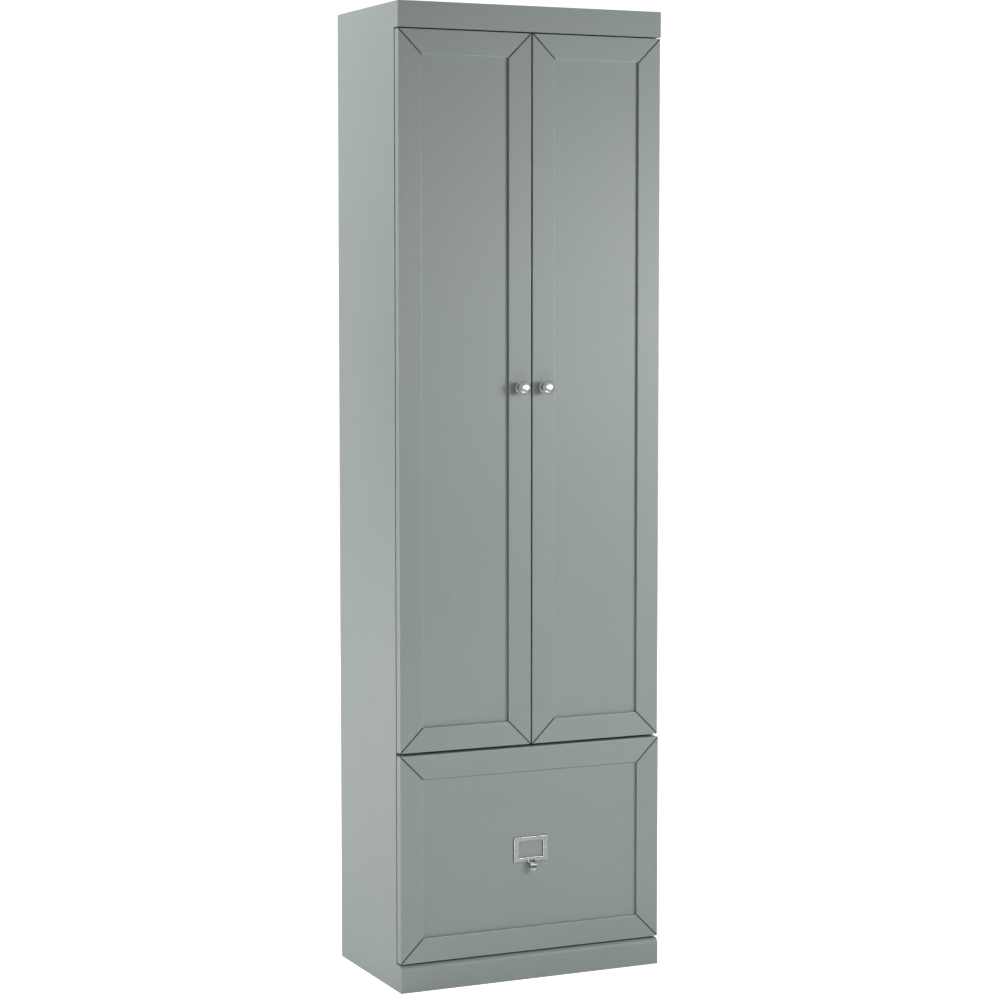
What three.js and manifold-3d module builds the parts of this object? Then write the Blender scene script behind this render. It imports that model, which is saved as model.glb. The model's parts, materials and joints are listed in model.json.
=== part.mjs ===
// Tall pantry cabinet: two full-height doors with mitred frames above one deep drawer.
// Units are millimetres. X runs to the right, Y from the door faces back to the wall, Z up.
// Inside the cabinet group Y = 0 is the plane of the closed door faces; the group then moves so that
// the origin lies under the middle of the whole object, at floor level.

import * as THREE from 'three';
import { mergeVertices } from 'three/addons/utils/BufferGeometryUtils.js';
import Module from 'manifold-3d';

const wasm = await Module();
wasm.setup();

// ---------------------------------------------------------------- driving dimensions

const WIDTH = 590;
const HEIGHT = 2007;
const DEPTH = 333; // from the door faces to the rear edges of the sides
const BOARD = 18; // carcass boards and shelves
const FIT = 0.25; // clearance left between pieces that are glued or screwed together
const OVERCUT = 1; // how far a cutting shape runs past the face that it opens

const FRONT_THICKNESS = 19; // doors and drawer front
const DOOR_GAP = 2; // behind a closed door, to the front edges of the carcass
const DRAWER_GAP = 4.5; // behind the closed drawer front, left by its rubber bumpers
const MEMBER_WIDTH = 50; // stiles and rails of doors and drawer front
const EDGE_RADIUS = 1.2; // eased edges; two of them make the V-groove along each mitre
const PANEL_THICKNESS = 6;
const PANEL_RECESS = 7; // from the faces of the frame back to the panel
const PANEL_TONGUE = 7; // how far the panel reaches into its groove
const GROOVE_CLEARANCE = 0.2;

const DOOR_BOTTOM = 494;
const DOOR_TOP = 1952;
const DOOR_SIDE_REVEAL = 1; // doors stop this far inside the cabinet's width
const DOOR_CENTRE_GAP = 3.5;
const DRAWER_FRONT_BOTTOM = 60;
const DRAWER_FRONT_TOP = 488.5;

const VALANCE_BOTTOM = 1954.5;
const PLINTH_HEIGHT = 56;
const PLINTH_PROUD = 4.25; // ahead of the door faces
const PLINTH_RADIUS = 12; // rounded top front edge

const BACK_THICKNESS = 3;
const BACK_INSET = 10; // from the rear edges of the sides to the back panels
const BACK_GROOVE_DEPTH = 6;
const BACK_GROOVE_SLACK = 0.4; // on each face of a back panel
const BACK_EDGE_SLACK = 0.5; // round the edges of a back panel
const BACK_TOP_SETBACK = 2; // from the top of the cabinet down to the upper back panel

const BOTTOM_PANEL_Z = 56;
const MIDDLE_PANEL_Z = 482;
const SHELVES = { lower_shelf: 812, centre_shelf: 1130, upper_shelf: 1420, top_shelf: 1700 };
const FIXED_SHELF = 'centre_shelf';
const SHELF_SETBACK = 12; // behind the front edges of the sides
const SHELF_SIDE_CLEARANCE = 1;
const SHELF_BACK_CLEARANCE = 2;
const PIN_HOLE_RADIUS = 2.5;
const PIN_HOLE_DEPTH = 10;
const PIN_HOLE_PITCH = 32;
const PIN_HOLE_INSET = 40; // from the front edge, and from the back panel

const KNOB_Z = 1232.5;
const KNOB_REACH = 29; // from the door face to the top of the knob
const KNOB_HEAD_RADIUS = 14;
const KNOB_COLLAR_RADIUS = 11;

const HINGE_HEIGHTS = { lower: 590, middle: 1260, upper: 1856 };
// Hinge points: X from the outer face of the side, Y from the front edges of the carcass.
const CUP_CENTRE_X = 22.5;
const CUP_RADIUS = 17.5;
const CUP_DEPTH = 11.5;
const CUP_WALL = 1.2;
const CUP_FLOOR = 1;
const CUP_RIM_OVERHANG = 0.9; // the rim hides the edge of its pocket
const CUP_LIFT = 0.15; // the cup's wall stands this far above its flange
const POCKET_SLACK = 0.4; // round the cup
const POCKET_DEPTH_SLACK = 0.5; // under the cup
const ARM_PIVOT = [29.5, -8.8];
const CUP_PIVOT = [11.3, -6.6];
const LINK_BEND = 2.8; // the link bows this far into the cup
const ARM_HALF_WIDTH = 5.8;
const LINK_HALF_WIDTH = 4;
const LINK_CLEARANCE = 0.4; // on each side of the link, to the arm's cheeks

const SLIDE_LENGTH = 280;
const SLIDE_Z = 186;
const SLIDE_FRONT = 3; // behind the front edges of the sides
const SLIDE_GAUGE = 1.2;
const SLIDE_THICKNESS = 12.5; // when closed
// Distances from the side to the outside of each web and to the ends of its lips, and half the height.
const SLIDE_MEMBERS = {
  cabinet: { web: 0, tip: 9.6, halfHeight: 22.5 },
  middle: { web: 3, tip: 10.4, halfHeight: 18 },
  drawer: { web: SLIDE_THICKNESS, tip: 6, halfHeight: 13.5 },
};

const BOX_BOARD = 12;
const BOX_BOTTOM = 92;
const BOX_HEIGHT = 280;
const BOX_DEPTH = 285;
const BOX_PANEL_THICKNESS = 5;
const BOX_PANEL_LIFT = 12; // from the lower edges of the box to its bottom panel
const BOX_GROOVE_DEPTH = 6;
const BOX_PANEL_SLACK = 0.5; // from the edges of the bottom panel to the floors of its grooves

const LABEL_WIDTH = 78;
const LABEL_HEIGHT = 53;
const LABEL_WINDOW_WIDTH = 54.5;
const LABEL_WINDOW_HEIGHT = 33.5;
const LABEL_THICKNESS = 2.8;
const LABEL_Z = 272.5; // middle of the holder
const PULL_WIDTH = 20; // at the root
const PULL_TAPER = 0.0125; // share of its width that the tongue loses with each millimetre from the root
const PULL_DROP = 18; // from the lower edge of the holder down to the tip
const PULL_REACH = 17.5; // from the drawer panel forward to the nose
const PULL_TIP_REACH = 14; // the tip lies a little behind the nose
const PULL_GAUGE = 2.4;
const PULL_BEND = 7; // size of the bend at the nose
const PULL_LIFT = 1.5; // from the lower edge of the holder up to the top of the nose
const PULL_ROOT_HEIGHT = 3.5; // height of the tongue where it leaves the holder
const PULL_ROOT_COVER = 0.2; // the root stops this far short of the holder's back

// ---------------------------------------------------------------- derived positions

const HALF = WIDTH / 2;
const INNER = HALF - BOARD;
const CASE_FRONT = FRONT_THICKNESS + DOOR_GAP; // front edges of sides and panels
const BACK_FACE = DEPTH - BACK_INSET - BACK_THICKNESS; // front face of the back panels
const DRAWER_FACE = CASE_FRONT - DRAWER_GAP - FRONT_THICKNESS;
const BOX_HALF = INNER - FIT - SLIDE_THICKNESS - FIT;
const BOX_FRONT = DRAWER_FACE + FRONT_THICKNESS + FIT;
const BOX_PANEL_Z = BOX_BOTTOM + BOX_PANEL_LIFT;

// ---------------------------------------------------------------- materials

function finish(color, roughness, metalness) {
  return () => new THREE.MeshStandardMaterial({ color, roughness, metalness });
}

const paint = finish(0x8f9a94, 0.45, 0);
const boxWood = finish(0xcdb48c, 0.55, 0);
const hardboard = finish(0x8c9791, 0.7, 0);
const zincSteel = finish(0xb4b6b8, 0.35, 1);
const nickel = finish(0xb9b6b0, 0.3, 1);

// ---------------------------------------------------------------- geometry helpers

// Turns an XY outline extruded along Z into one that lies in YZ and runs along X.
const TO_X = new THREE.Matrix4().makeBasis(
  new THREE.Vector3(0, 1, 0),
  new THREE.Vector3(0, 0, 1),
  new THREE.Vector3(1, 0, 0),
);
// Turns an outline given as (Z, X) into one that runs along Y.
const TO_Y = new THREE.Matrix4().makeBasis(
  new THREE.Vector3(0, 0, 1),
  new THREE.Vector3(1, 0, 0),
  new THREE.Vector3(0, 1, 0),
);

function polygon(points) {
  return new THREE.Shape(points.map(([a, b]) => new THREE.Vector2(a, b)));
}

function alongZ(shape, z0, z1, curveSegments = 6) {
  const geometry = new THREE.ExtrudeGeometry(shape, { depth: z1 - z0, bevelEnabled: false, curveSegments });
  return geometry.translate(0, 0, z0);
}

// The outline holds (Y, Z) points.
function alongX(shape, x0, x1, curveSegments = 6) {
  return alongZ(shape, x0, x1, curveSegments).applyMatrix4(TO_X);
}

// The outline holds (Z, X) points.
function alongY(shape, y0, y1, curveSegments = 6) {
  return alongZ(shape, y0, y1, curveSegments).applyMatrix4(TO_Y);
}

// The same, with every edge of both faces eased to a small radius.
function alongYEased(shape, y0, y1, radius) {
  const geometry = new THREE.ExtrudeGeometry(shape, {
    depth: y1 - y0 - 2 * radius,
    bevelEnabled: true,
    bevelThickness: radius,
    bevelSize: radius,
    bevelOffset: -radius,
    bevelSegments: 2,
  });
  return geometry.translate(0, 0, y0 + radius).applyMatrix4(TO_Y);
}

function box([x0, x1], [y0, y1], [z0, z1]) {
  const geometry = new THREE.BoxGeometry(x1 - x0, y1 - y0, z1 - z0);
  return geometry.translate((x0 + x1) / 2, (y0 + y1) / 2, (z0 + z1) / 2);
}

function toSolid(geometry) {
  const bare = geometry.clone();
  bare.deleteAttribute('normal');
  bare.deleteAttribute('uv');
  const merged = mergeVertices(bare, 1e-4);
  const vertProperties = new Float32Array(merged.attributes.position.array);
  const triVerts = new Uint32Array(merged.index.array);
  return new wasm.Manifold(new wasm.Mesh({ numProp: 3, vertProperties, triVerts }));
}

function toGeometry(solid) {
  const mesh = solid.getMesh();
  const geometry = new THREE.BufferGeometry();
  geometry.setAttribute('position', new THREE.BufferAttribute(mesh.vertProperties, 3));
  geometry.setIndex(new THREE.BufferAttribute(mesh.triVerts, 1));
  geometry.computeVertexNormals();
  return geometry;
}

function join(...geometries) {
  return toGeometry(geometries.map(toSolid).reduce((sum, part) => sum.add(part)));
}

function cut(geometry, ...tools) {
  return toGeometry(tools.map(toSolid).reduce((rest, tool) => rest.subtract(tool), toSolid(geometry)));
}

// The same piece for the other side of the cabinet, reflected in the plane X = 0.
function mirrored(geometry) {
  const flipped = mergeVertices(geometry).scale(-1, 1, 1);
  const order = flipped.index.array;
  for (let i = 0; i < order.length; i += 3) {
    [order[i], order[i + 1]] = [order[i + 1], order[i]];
  }
  flipped.computeVertexNormals();
  return flipped;
}

const cabinet = new THREE.Group();

function add(name, material, geometry) {
  const mesh = new THREE.Mesh(geometry, material());
  mesh.name = name;
  cabinet.add(mesh);
  return mesh;
}

// Adds a piece that is modelled on the left, and its mirror image on the right.
function addPair(nameOf, material, leftGeometry) {
  add(nameOf('left'), material, leftGeometry);
  add(nameOf('right'), material, mirrored(leftGeometry));
}

// ---------------------------------------------------------------- sides

function shelfPinHoles() {
  const rows = Object.entries(SHELVES).filter(([name]) => name !== FIXED_SHELF);
  const columns = [CASE_FRONT + SHELF_SETBACK + PIN_HOLE_INSET, BACK_FACE - PIN_HOLE_INSET];
  const length = PIN_HOLE_DEPTH + OVERCUT;
  const holes = [];
  for (const [, shelfZ] of rows) {
    for (const y of columns) {
      for (let step = -2; step <= 2; step += 1) {
        const hole = new THREE.CylinderGeometry(PIN_HOLE_RADIUS, PIN_HOLE_RADIUS, length, 8);
        hole.rotateZ(Math.PI / 2);
        const z = shelfZ - PIN_HOLE_RADIUS + step * PIN_HOLE_PITCH;
        holes.push(hole.translate(-INNER + OVERCUT - length / 2, y, z));
      }
    }
  }
  return holes;
}

// A full-height board with a groove for the back panels and, at the top, a horn that reaches forward
// over the door and is mitred to the valance.
function leftSide() {
  const grooveFront = BACK_FACE - BACK_GROOVE_SLACK;
  const grooveBack = DEPTH - BACK_INSET + BACK_GROOVE_SLACK;
  const plan = polygon([
    [-HALF, CASE_FRONT],
    [-INNER, CASE_FRONT],
    [-INNER, grooveFront],
    [-INNER - BACK_GROOVE_DEPTH, grooveFront],
    [-INNER - BACK_GROOVE_DEPTH, grooveBack],
    [-INNER, grooveBack],
    [-INNER, DEPTH],
    [-HALF, DEPTH],
  ]);
  const notchRadius = 3;
  const hornBack = CASE_FRONT + 40;
  const horn = new THREE.Shape();
  horn.moveTo(0, VALANCE_BOTTOM);
  horn.lineTo(CASE_FRONT - notchRadius, VALANCE_BOTTOM);
  horn.absarc(CASE_FRONT - notchRadius, VALANCE_BOTTOM - notchRadius, notchRadius, Math.PI / 2, 0, true);
  horn.lineTo(hornBack, VALANCE_BOTTOM - notchRadius);
  horn.lineTo(hornBack, HEIGHT);
  horn.lineTo(0, HEIGHT);
  const blank = join(alongZ(plan, 0, HEIGHT), alongX(horn, -HALF, -INNER, 4));
  const mitre = polygon([
    [-HALF, -OVERCUT],
    [-INNER + OVERCUT, -OVERCUT],
    [-INNER + OVERCUT, BOARD + OVERCUT],
    [-HALF, 0],
  ]);
  return cut(blank, alongZ(mitre, VALANCE_BOTTOM - OVERCUT, HEIGHT + OVERCUT), ...shelfPinHoles());
}

addPair((side) => `${side}_side_panel`, paint, leftSide());

// ---------------------------------------------------------------- fixed boards of the carcass

const boardSpan = [-INNER + FIT, INNER - FIT];
const boardReach = [CASE_FRONT, BACK_FACE - FIT];

add('top_panel', paint, box(boardSpan, [BOARD + FIT, BACK_FACE - FIT], [HEIGHT - BOARD, HEIGHT]));
add('middle_panel', paint, box(boardSpan, boardReach, [MIDDLE_PANEL_Z, MIDDLE_PANEL_Z + BOARD]));
add('bottom_panel', paint, box(boardSpan, boardReach, [BOTTOM_PANEL_Z, BOTTOM_PANEL_Z + BOARD]));

function valance() {
  const mitreGap = FIT * Math.SQRT2;
  const plan = polygon([
    [-HALF + mitreGap, 0],
    [HALF - mitreGap, 0],
    [INNER - mitreGap, BOARD],
    [-INNER + mitreGap, BOARD],
  ]);
  return alongZ(plan, VALANCE_BOTTOM, HEIGHT);
}

add('valance', paint, valance());

function plinth() {
  const section = new THREE.Shape();
  section.moveTo(-PLINTH_PROUD, 0);
  section.lineTo(CASE_FRONT - FIT, 0);
  section.lineTo(CASE_FRONT - FIT, PLINTH_HEIGHT);
  section.lineTo(-PLINTH_PROUD + PLINTH_RADIUS, PLINTH_HEIGHT);
  section.absarc(
    -PLINTH_PROUD + PLINTH_RADIUS,
    PLINTH_HEIGHT - PLINTH_RADIUS,
    PLINTH_RADIUS,
    Math.PI / 2,
    Math.PI,
    false,
  );
  return alongX(section, -HALF, HALF, 8);
}

add('plinth', paint, plinth());

const backHalf = INNER + BACK_GROOVE_DEPTH - BACK_EDGE_SLACK;
const backSpan = [-backHalf, backHalf];
const backPlane = [BACK_FACE, BACK_FACE + BACK_THICKNESS];
const backSplit = MIDDLE_PANEL_Z + BOARD / 2;
const upperBack = [backSplit + BACK_EDGE_SLACK, HEIGHT - BACK_TOP_SETBACK];
const lowerBack = [BOTTOM_PANEL_Z, backSplit - BACK_EDGE_SLACK];
add('upper_back_panel', hardboard, box(backSpan, backPlane, upperBack));
add('lower_back_panel', hardboard, box(backSpan, backPlane, lowerBack));

// ---------------------------------------------------------------- shelves

for (const [name, z] of Object.entries(SHELVES)) {
  const side = name === FIXED_SHELF ? FIT : SHELF_SIDE_CLEARANCE;
  const span = [-INNER + side, INNER - side];
  const reach = [CASE_FRONT + SHELF_SETBACK, BACK_FACE - SHELF_BACK_CLEARANCE];
  add(name, paint, box(span, reach, [z, z + BOARD]));
}

// ---------------------------------------------------------------- mitred frames with panels

// The four members of a frame as (Z, X) outlines. left and bottom are the frame's lower left corner.
function memberOutlines(left, bottom, width, height) {
  const right = left + width;
  const top = bottom + height;
  const m = MEMBER_WIDTH;
  const g = (FIT / 2) * Math.SQRT2;
  return {
    bottom_rail: [
      [bottom, left + g],
      [bottom + m, left + m + g],
      [bottom + m, right - m - g],
      [bottom, right - g],
    ],
    top_rail: [
      [top, right - g],
      [top - m, right - m - g],
      [top - m, left + m + g],
      [top, left + g],
    ],
    left_stile: [
      [top - g, left],
      [top - m - g, left + m],
      [bottom + m + g, left + m],
      [bottom + g, left],
    ],
    right_stile: [
      [bottom + g, right],
      [bottom + m + g, right - m],
      [top - m - g, right - m],
      [top - g, right],
    ],
  };
}

// Members and panel of a framed front whose face lies at the depth given as face.
function framedFront(left, bottom, width, height, face) {
  const inset = MEMBER_WIDTH - PANEL_TONGUE;
  const panelFront = face + PANEL_RECESS;
  const panelBack = panelFront + PANEL_THICKNESS;
  const panel = box(
    [left + inset, left + width - inset],
    [panelFront, panelBack],
    [bottom + inset, bottom + height - inset],
  );
  const slack = GROOVE_CLEARANCE;
  const groove = box(
    [left + inset - OVERCUT, left + width - inset + OVERCUT],
    [panelFront - slack, panelBack + slack],
    [bottom + inset - OVERCUT, bottom + height - inset + OVERCUT],
  );
  const pieces = { panel };
  for (const [name, outline] of Object.entries(memberOutlines(left, bottom, width, height))) {
    const blank = alongYEased(polygon(outline), face, face + FRONT_THICKNESS, EDGE_RADIUS);
    pieces[name] = cut(blank, groove);
  }
  return pieces;
}

// ---------------------------------------------------------------- doors

function cupPocket(z) {
  const radius = CUP_RADIUS + POCKET_SLACK;
  const length = CUP_DEPTH + POCKET_DEPTH_SLACK + OVERCUT;
  const pocket = new THREE.CylinderGeometry(radius, radius, length, 24);
  return pocket.translate(-HALF + CUP_CENTRE_X, FRONT_THICKNESS + OVERCUT - length / 2, z);
}

function leftDoor() {
  const left = -HALF + DOOR_SIDE_REVEAL;
  const width = -DOOR_CENTRE_GAP / 2 - left;
  const pieces = framedFront(left, DOOR_BOTTOM, width, DOOR_TOP - DOOR_BOTTOM, 0);
  const pockets = Object.values(HINGE_HEIGHTS).map(cupPocket);
  return {
    outer_stile: cut(pieces.left_stile, ...pockets),
    inner_stile: pieces.right_stile,
    top_rail: pieces.top_rail,
    bottom_rail: pieces.bottom_rail,
    panel: pieces.panel,
  };
}

for (const [piece, geometry] of Object.entries(leftDoor())) {
  addPair((side) => `${side}_door_${piece}`, paint, geometry);
}

// A mushroom knob turned about Y: a collar on the door, a waisted neck and a domed head.
function knob() {
  const profile = [
    [0, 0],
    [KNOB_COLLAR_RADIUS, 0],
    [KNOB_COLLAR_RADIUS, 1.6],
    [8.6, 2.9],
    [6, 5.6],
    [5.2, 10],
    [6.2, 14.5],
    [9.6, 18],
    [13, 20.2],
    [KNOB_HEAD_RADIUS, 22.2],
    [13.2, 24.4],
    [10.6, 26.6],
    [6.4, 28.2],
    [0, KNOB_REACH - FIT],
  ];
  const head = new THREE.LatheGeometry(profile.map(([r, h]) => new THREE.Vector2(r, h)), 24);
  const x = -DOOR_CENTRE_GAP / 2 - MEMBER_WIDTH / 2;
  return head.rotateZ(Math.PI).translate(x, -FIT, KNOB_Z);
}

addPair((side) => `${side}_knob`, nickel, knob());

// ---------------------------------------------------------------- concealed hinges

// A bar with round ends between two points of the hinge's plan, running along Z.
function bar([x0, y0], [x1, y1], radius, z0, z1) {
  const angle = Math.atan2(y1 - y0, x1 - x0);
  const shape = new THREE.Shape();
  shape.absarc(x0, y0, radius, angle + Math.PI / 2, angle + (3 * Math.PI) / 2, false);
  shape.absarc(x1, y1, radius, angle - Math.PI / 2, angle + Math.PI / 2, false);
  return alongZ(shape, z0, z1, 5);
}

function disc([x, y], radius, z0, z1) {
  const geometry = new THREE.CylinderGeometry(radius, radius, z1 - z0, 12);
  return geometry.rotateX(Math.PI / 2).translate(x, y, (z0 + z1) / 2);
}

// A steel cup let into the back of the door, with a flange that carries its two screws.
function hingeCup() {
  const inner = CUP_RADIUS - CUP_WALL;
  const backFace = -DOOR_GAP;
  const wall = [
    [0, 0],
    [CUP_RADIUS, 0],
    [CUP_RADIUS, CUP_DEPTH],
    [inner, CUP_DEPTH],
    [inner, CUP_FLOOR],
    [0, CUP_FLOOR],
  ];
  const cup = new THREE.LatheGeometry(wall.map(([r, h]) => new THREE.Vector2(r, h)), 24);
  cup.translate(CUP_CENTRE_X, backFace - CUP_DEPTH + CUP_LIFT, 0);
  const flange = new THREE.Shape();
  const earHeight = 31;
  const earFront = CUP_CENTRE_X - 5;
  const earBack = CUP_CENTRE_X + 17;
  const earRadius = 5;
  flange.moveTo(-earHeight + earRadius, earFront);
  flange.lineTo(earHeight - earRadius, earFront);
  flange.absarc(earHeight - earRadius, earFront + earRadius, earRadius, -Math.PI / 2, 0, false);
  flange.absarc(earHeight - earRadius, earBack - earRadius, earRadius, 0, Math.PI / 2, false);
  flange.absarc(-earHeight + earRadius, earBack - earRadius, earRadius, Math.PI / 2, Math.PI, false);
  flange.absarc(-earHeight + earRadius, earFront + earRadius, earRadius, Math.PI, 1.5 * Math.PI, false);
  const seat = backFace + 0.1;
  const mouth = backFace + CUP_WALL;
  const plate = alongY(flange, seat, mouth, 3);
  const rimRadius = CUP_RADIUS + CUP_RIM_OVERHANG;
  const rim = new THREE.CylinderGeometry(rimRadius, rimRadius, mouth - seat, 24);
  rim.translate(CUP_CENTRE_X, (mouth + seat) / 2, 0);
  const bore = new THREE.CylinderGeometry(inner, inner, CUP_DEPTH, 24);
  bore.translate(CUP_CENTRE_X, mouth + OVERCUT - CUP_DEPTH / 2, 0);
  return cut(join(cup, plate, rim), bore);
}

// Mounting plate and arm: two cheeks reach through the mouth of the cup and carry the link between them.
function hingeArm() {
  const [px, py] = ARM_PIVOT;
  const rear = 58; // end of the cheeks, behind the front edge of the side
  const shoulder = 14; // from here the cheeks narrow towards the cup
  const throat = 4;
  const cheekFoot = BOARD + 2.5;
  const eye = 3; // radius round the pivot
  const cheek = new THREE.Shape();
  cheek.moveTo(cheekFoot, rear);
  cheek.lineTo(cheekFoot, shoulder);
  cheek.lineTo(px - 1.5 * eye, throat);
  cheek.lineTo(px - eye, py);
  cheek.absarc(px, py, eye, Math.PI, 2 * Math.PI, false);
  cheek.lineTo(px + eye - 0.5, throat);
  cheek.lineTo(px, shoulder);
  cheek.lineTo(px - 1, rear);
  const cheekInner = LINK_HALF_WIDTH + LINK_CLEARANCE;
  const upper = alongZ(cheek, cheekInner, ARM_HALF_WIDTH, 5);
  const lower = alongZ(cheek, -ARM_HALF_WIDTH, -cheekInner, 5);
  const webHalf = cheekInner + 0.5;
  const web = box([px - 4, px - 1.5], [shoulder, rear - 1], [-webHalf, webHalf]);
  const footHalf = ARM_HALF_WIDTH - 0.4;
  const foot = box([BOARD + 1.5, BOARD + 5], [24, rear - 2], [-footHalf, footHalf]);
  const plateFaces = [BOARD + FIT, BOARD + 2.2];
  const wingReach = 24; // from the middle of the hinge to the end of each wing
  const wingHalf = 8;
  const wingCentre = 37; // behind the front edge of the side, in line with the wings' screws
  const wings = new THREE.Shape();
  wings.absarc(wingCentre, wingReach - wingHalf, wingHalf, 0, Math.PI, false);
  wings.absarc(wingCentre, -wingReach + wingHalf, wingHalf, Math.PI, 2 * Math.PI, false);
  const plate = alongX(wings, ...plateFaces, 6);
  const base = box(plateFaces, [20, rear + 2], [-wingHalf, wingHalf]);
  return join(upper, lower, web, foot, plate, base);
}

// The link between the arm's pivot and the pivot inside the cup, bowed towards the cup's floor.
function hingeLink() {
  const [ax, ay] = ARM_PIVOT;
  const [bx, by] = CUP_PIVOT;
  const length = Math.hypot(bx - ax, by - ay);
  const knee = [
    (ax + bx) / 2 - (LINK_BEND * (by - ay)) / length,
    (ay + by) / 2 + (LINK_BEND * (bx - ax)) / length,
  ];
  const z = LINK_HALF_WIDTH;
  const strap = 1.2; // half the thickness of the link between its eyes
  const armEye = 2.3;
  const cupEye = 2;
  return join(
    bar(ARM_PIVOT, knee, strap, -z, z),
    bar(knee, CUP_PIVOT, strap, -z, z),
    disc(ARM_PIVOT, armEye, -z, z),
    disc(CUP_PIVOT, cupEye, -z, z),
  );
}

for (const [height, z] of Object.entries(HINGE_HEIGHTS)) {
  const place = (geometry) => geometry.translate(-HALF, CASE_FRONT, z);
  addPair((side) => `${side}_${height}_hinge_cup`, zincSteel, place(hingeCup()));
  addPair((side) => `${side}_${height}_hinge_arm`, zincSteel, place(hingeArm()));
  addPair((side) => `${side}_${height}_hinge_link`, zincSteel, place(hingeLink()));
}

// ---------------------------------------------------------------- drawer slides

// A C-section: its web is one gauge thick, and its two lips end at tip.
function channel({ web, tip, halfHeight }) {
  const left = -INNER + FIT;
  const gauge = SLIDE_GAUGE;
  const inner = web + Math.sign(tip - web) * gauge;
  const outline = [
    [-halfHeight, left + web],
    [halfHeight, left + web],
    [halfHeight, left + tip],
    [halfHeight - gauge, left + tip],
    [halfHeight - gauge, left + inner],
    [-halfHeight + gauge, left + inner],
    [-halfHeight + gauge, left + tip],
    [-halfHeight, left + tip],
  ];
  const shape = polygon(tip > web ? outline : outline.reverse());
  const front = CASE_FRONT + SLIDE_FRONT;
  return alongY(shape, front, front + SLIDE_LENGTH).translate(0, 0, SLIDE_Z);
}

for (const [member, section] of Object.entries(SLIDE_MEMBERS)) {
  addPair((side) => `${side}_slide_${member}_member`, zincSteel, channel(section));
}

// ---------------------------------------------------------------- drawer box

const boxTop = BOX_BOTTOM + BOX_HEIGHT;
const boxBack = BOX_FRONT + BOX_DEPTH;
const boxInner = BOX_HALF - BOX_BOARD;
const boxPanelHalf = boxInner + BOX_GROOVE_DEPTH - BOX_PANEL_SLACK;
const grooveLow = BOX_PANEL_Z - GROOVE_CLEARANCE;
const grooveHigh = BOX_PANEL_Z + BOX_PANEL_THICKNESS + GROOVE_CLEARANCE;

function boxSide() {
  const groove = box(
    [-boxInner - BOX_GROOVE_DEPTH, -boxInner + OVERCUT],
    [BOX_FRONT - OVERCUT, boxBack + OVERCUT],
    [grooveLow, grooveHigh],
  );
  return cut(box([-BOX_HALF, -boxInner], [BOX_FRONT, boxBack], [BOX_BOTTOM, boxTop]), groove);
}

function boxFront() {
  const rear = BOX_FRONT + BOX_BOARD;
  const groove = box(
    [-boxInner - OVERCUT, boxInner + OVERCUT],
    [rear - BOX_GROOVE_DEPTH, rear + OVERCUT],
    [grooveLow, grooveHigh],
  );
  const board = box([-boxInner + FIT, boxInner - FIT], [BOX_FRONT, rear], [BOX_BOTTOM, boxTop]);
  return cut(board, groove);
}

addPair((side) => `drawer_box_${side}_side`, boxWood, boxSide());
add('drawer_box_front', boxWood, boxFront());
add(
  'drawer_box_back',
  boxWood,
  box([-boxInner + FIT, boxInner - FIT], [boxBack - BOX_BOARD, boxBack], [grooveHigh + FIT, boxTop]),
);
add(
  'drawer_box_bottom',
  boxWood,
  box(
    [-boxPanelHalf, boxPanelHalf],
    [BOX_FRONT + BOX_BOARD - BOX_GROOVE_DEPTH + BOX_PANEL_SLACK, boxBack],
    [BOX_PANEL_Z, BOX_PANEL_Z + BOX_PANEL_THICKNESS],
  ),
);

// ---------------------------------------------------------------- drawer front

const drawerFrontHeight = DRAWER_FRONT_TOP - DRAWER_FRONT_BOTTOM;
const drawerFront = framedFront(-HALF, DRAWER_FRONT_BOTTOM, WIDTH, drawerFrontHeight, DRAWER_FACE);
for (const [piece, geometry] of Object.entries(drawerFront)) {
  add(`drawer_front_${piece}`, paint, geometry);
}

// ---------------------------------------------------------------- label holder with pull

function rectanglePath(PathClass, halfZ, halfX) {
  const path = new PathClass();
  path.moveTo(-halfZ, -halfX);
  path.lineTo(halfZ, -halfX);
  path.lineTo(halfZ, halfX);
  path.lineTo(-halfZ, halfX);
  path.closePath();
  return path;
}

// The tongue grows forward from the holder's lower bar, rounds a nose and hangs down to its tip. It is
// widest at the root. Heights are measured from the middle of the holder.
function pullTongue(panelFace) {
  const root = panelFace - FIT - PULL_ROOT_COVER;
  const nose = panelFace - PULL_REACH;
  const innerNose = nose + PULL_GAUGE;
  const tip = panelFace - PULL_TIP_REACH;
  const lowerEdge = -LABEL_HEIGHT / 2;
  const top = lowerEdge + PULL_LIFT;
  const rootTop = top + PULL_ROOT_HEIGHT;
  const under = top - PULL_GAUGE;
  const bendEnd = top - PULL_BEND;
  const tipBottom = lowerEdge - PULL_DROP;
  const halfGauge = PULL_GAUGE / 2;
  const section = new THREE.Shape();
  section.moveTo(root, rootTop);
  section.lineTo(root, top);
  section.lineTo(nose + PULL_BEND, under);
  section.quadraticCurveTo(innerNose, under, innerNose, bendEnd);
  section.lineTo(tip + halfGauge, tipBottom);
  section.lineTo(tip - halfGauge, tipBottom);
  section.lineTo(nose, bendEnd);
  section.quadraticCurveTo(nose, top, nose + PULL_BEND, top);
  const tongue = alongX(section, -PULL_WIDTH / 2, PULL_WIDTH / 2, 6);
  const corners = tongue.attributes.position;
  for (let i = 0; i < corners.count; i += 1) {
    const run = root - corners.getY(i) + (rootTop - corners.getZ(i));
    corners.setX(i, corners.getX(i) * (1 - PULL_TAPER * run));
  }
  return tongue;
}

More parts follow.
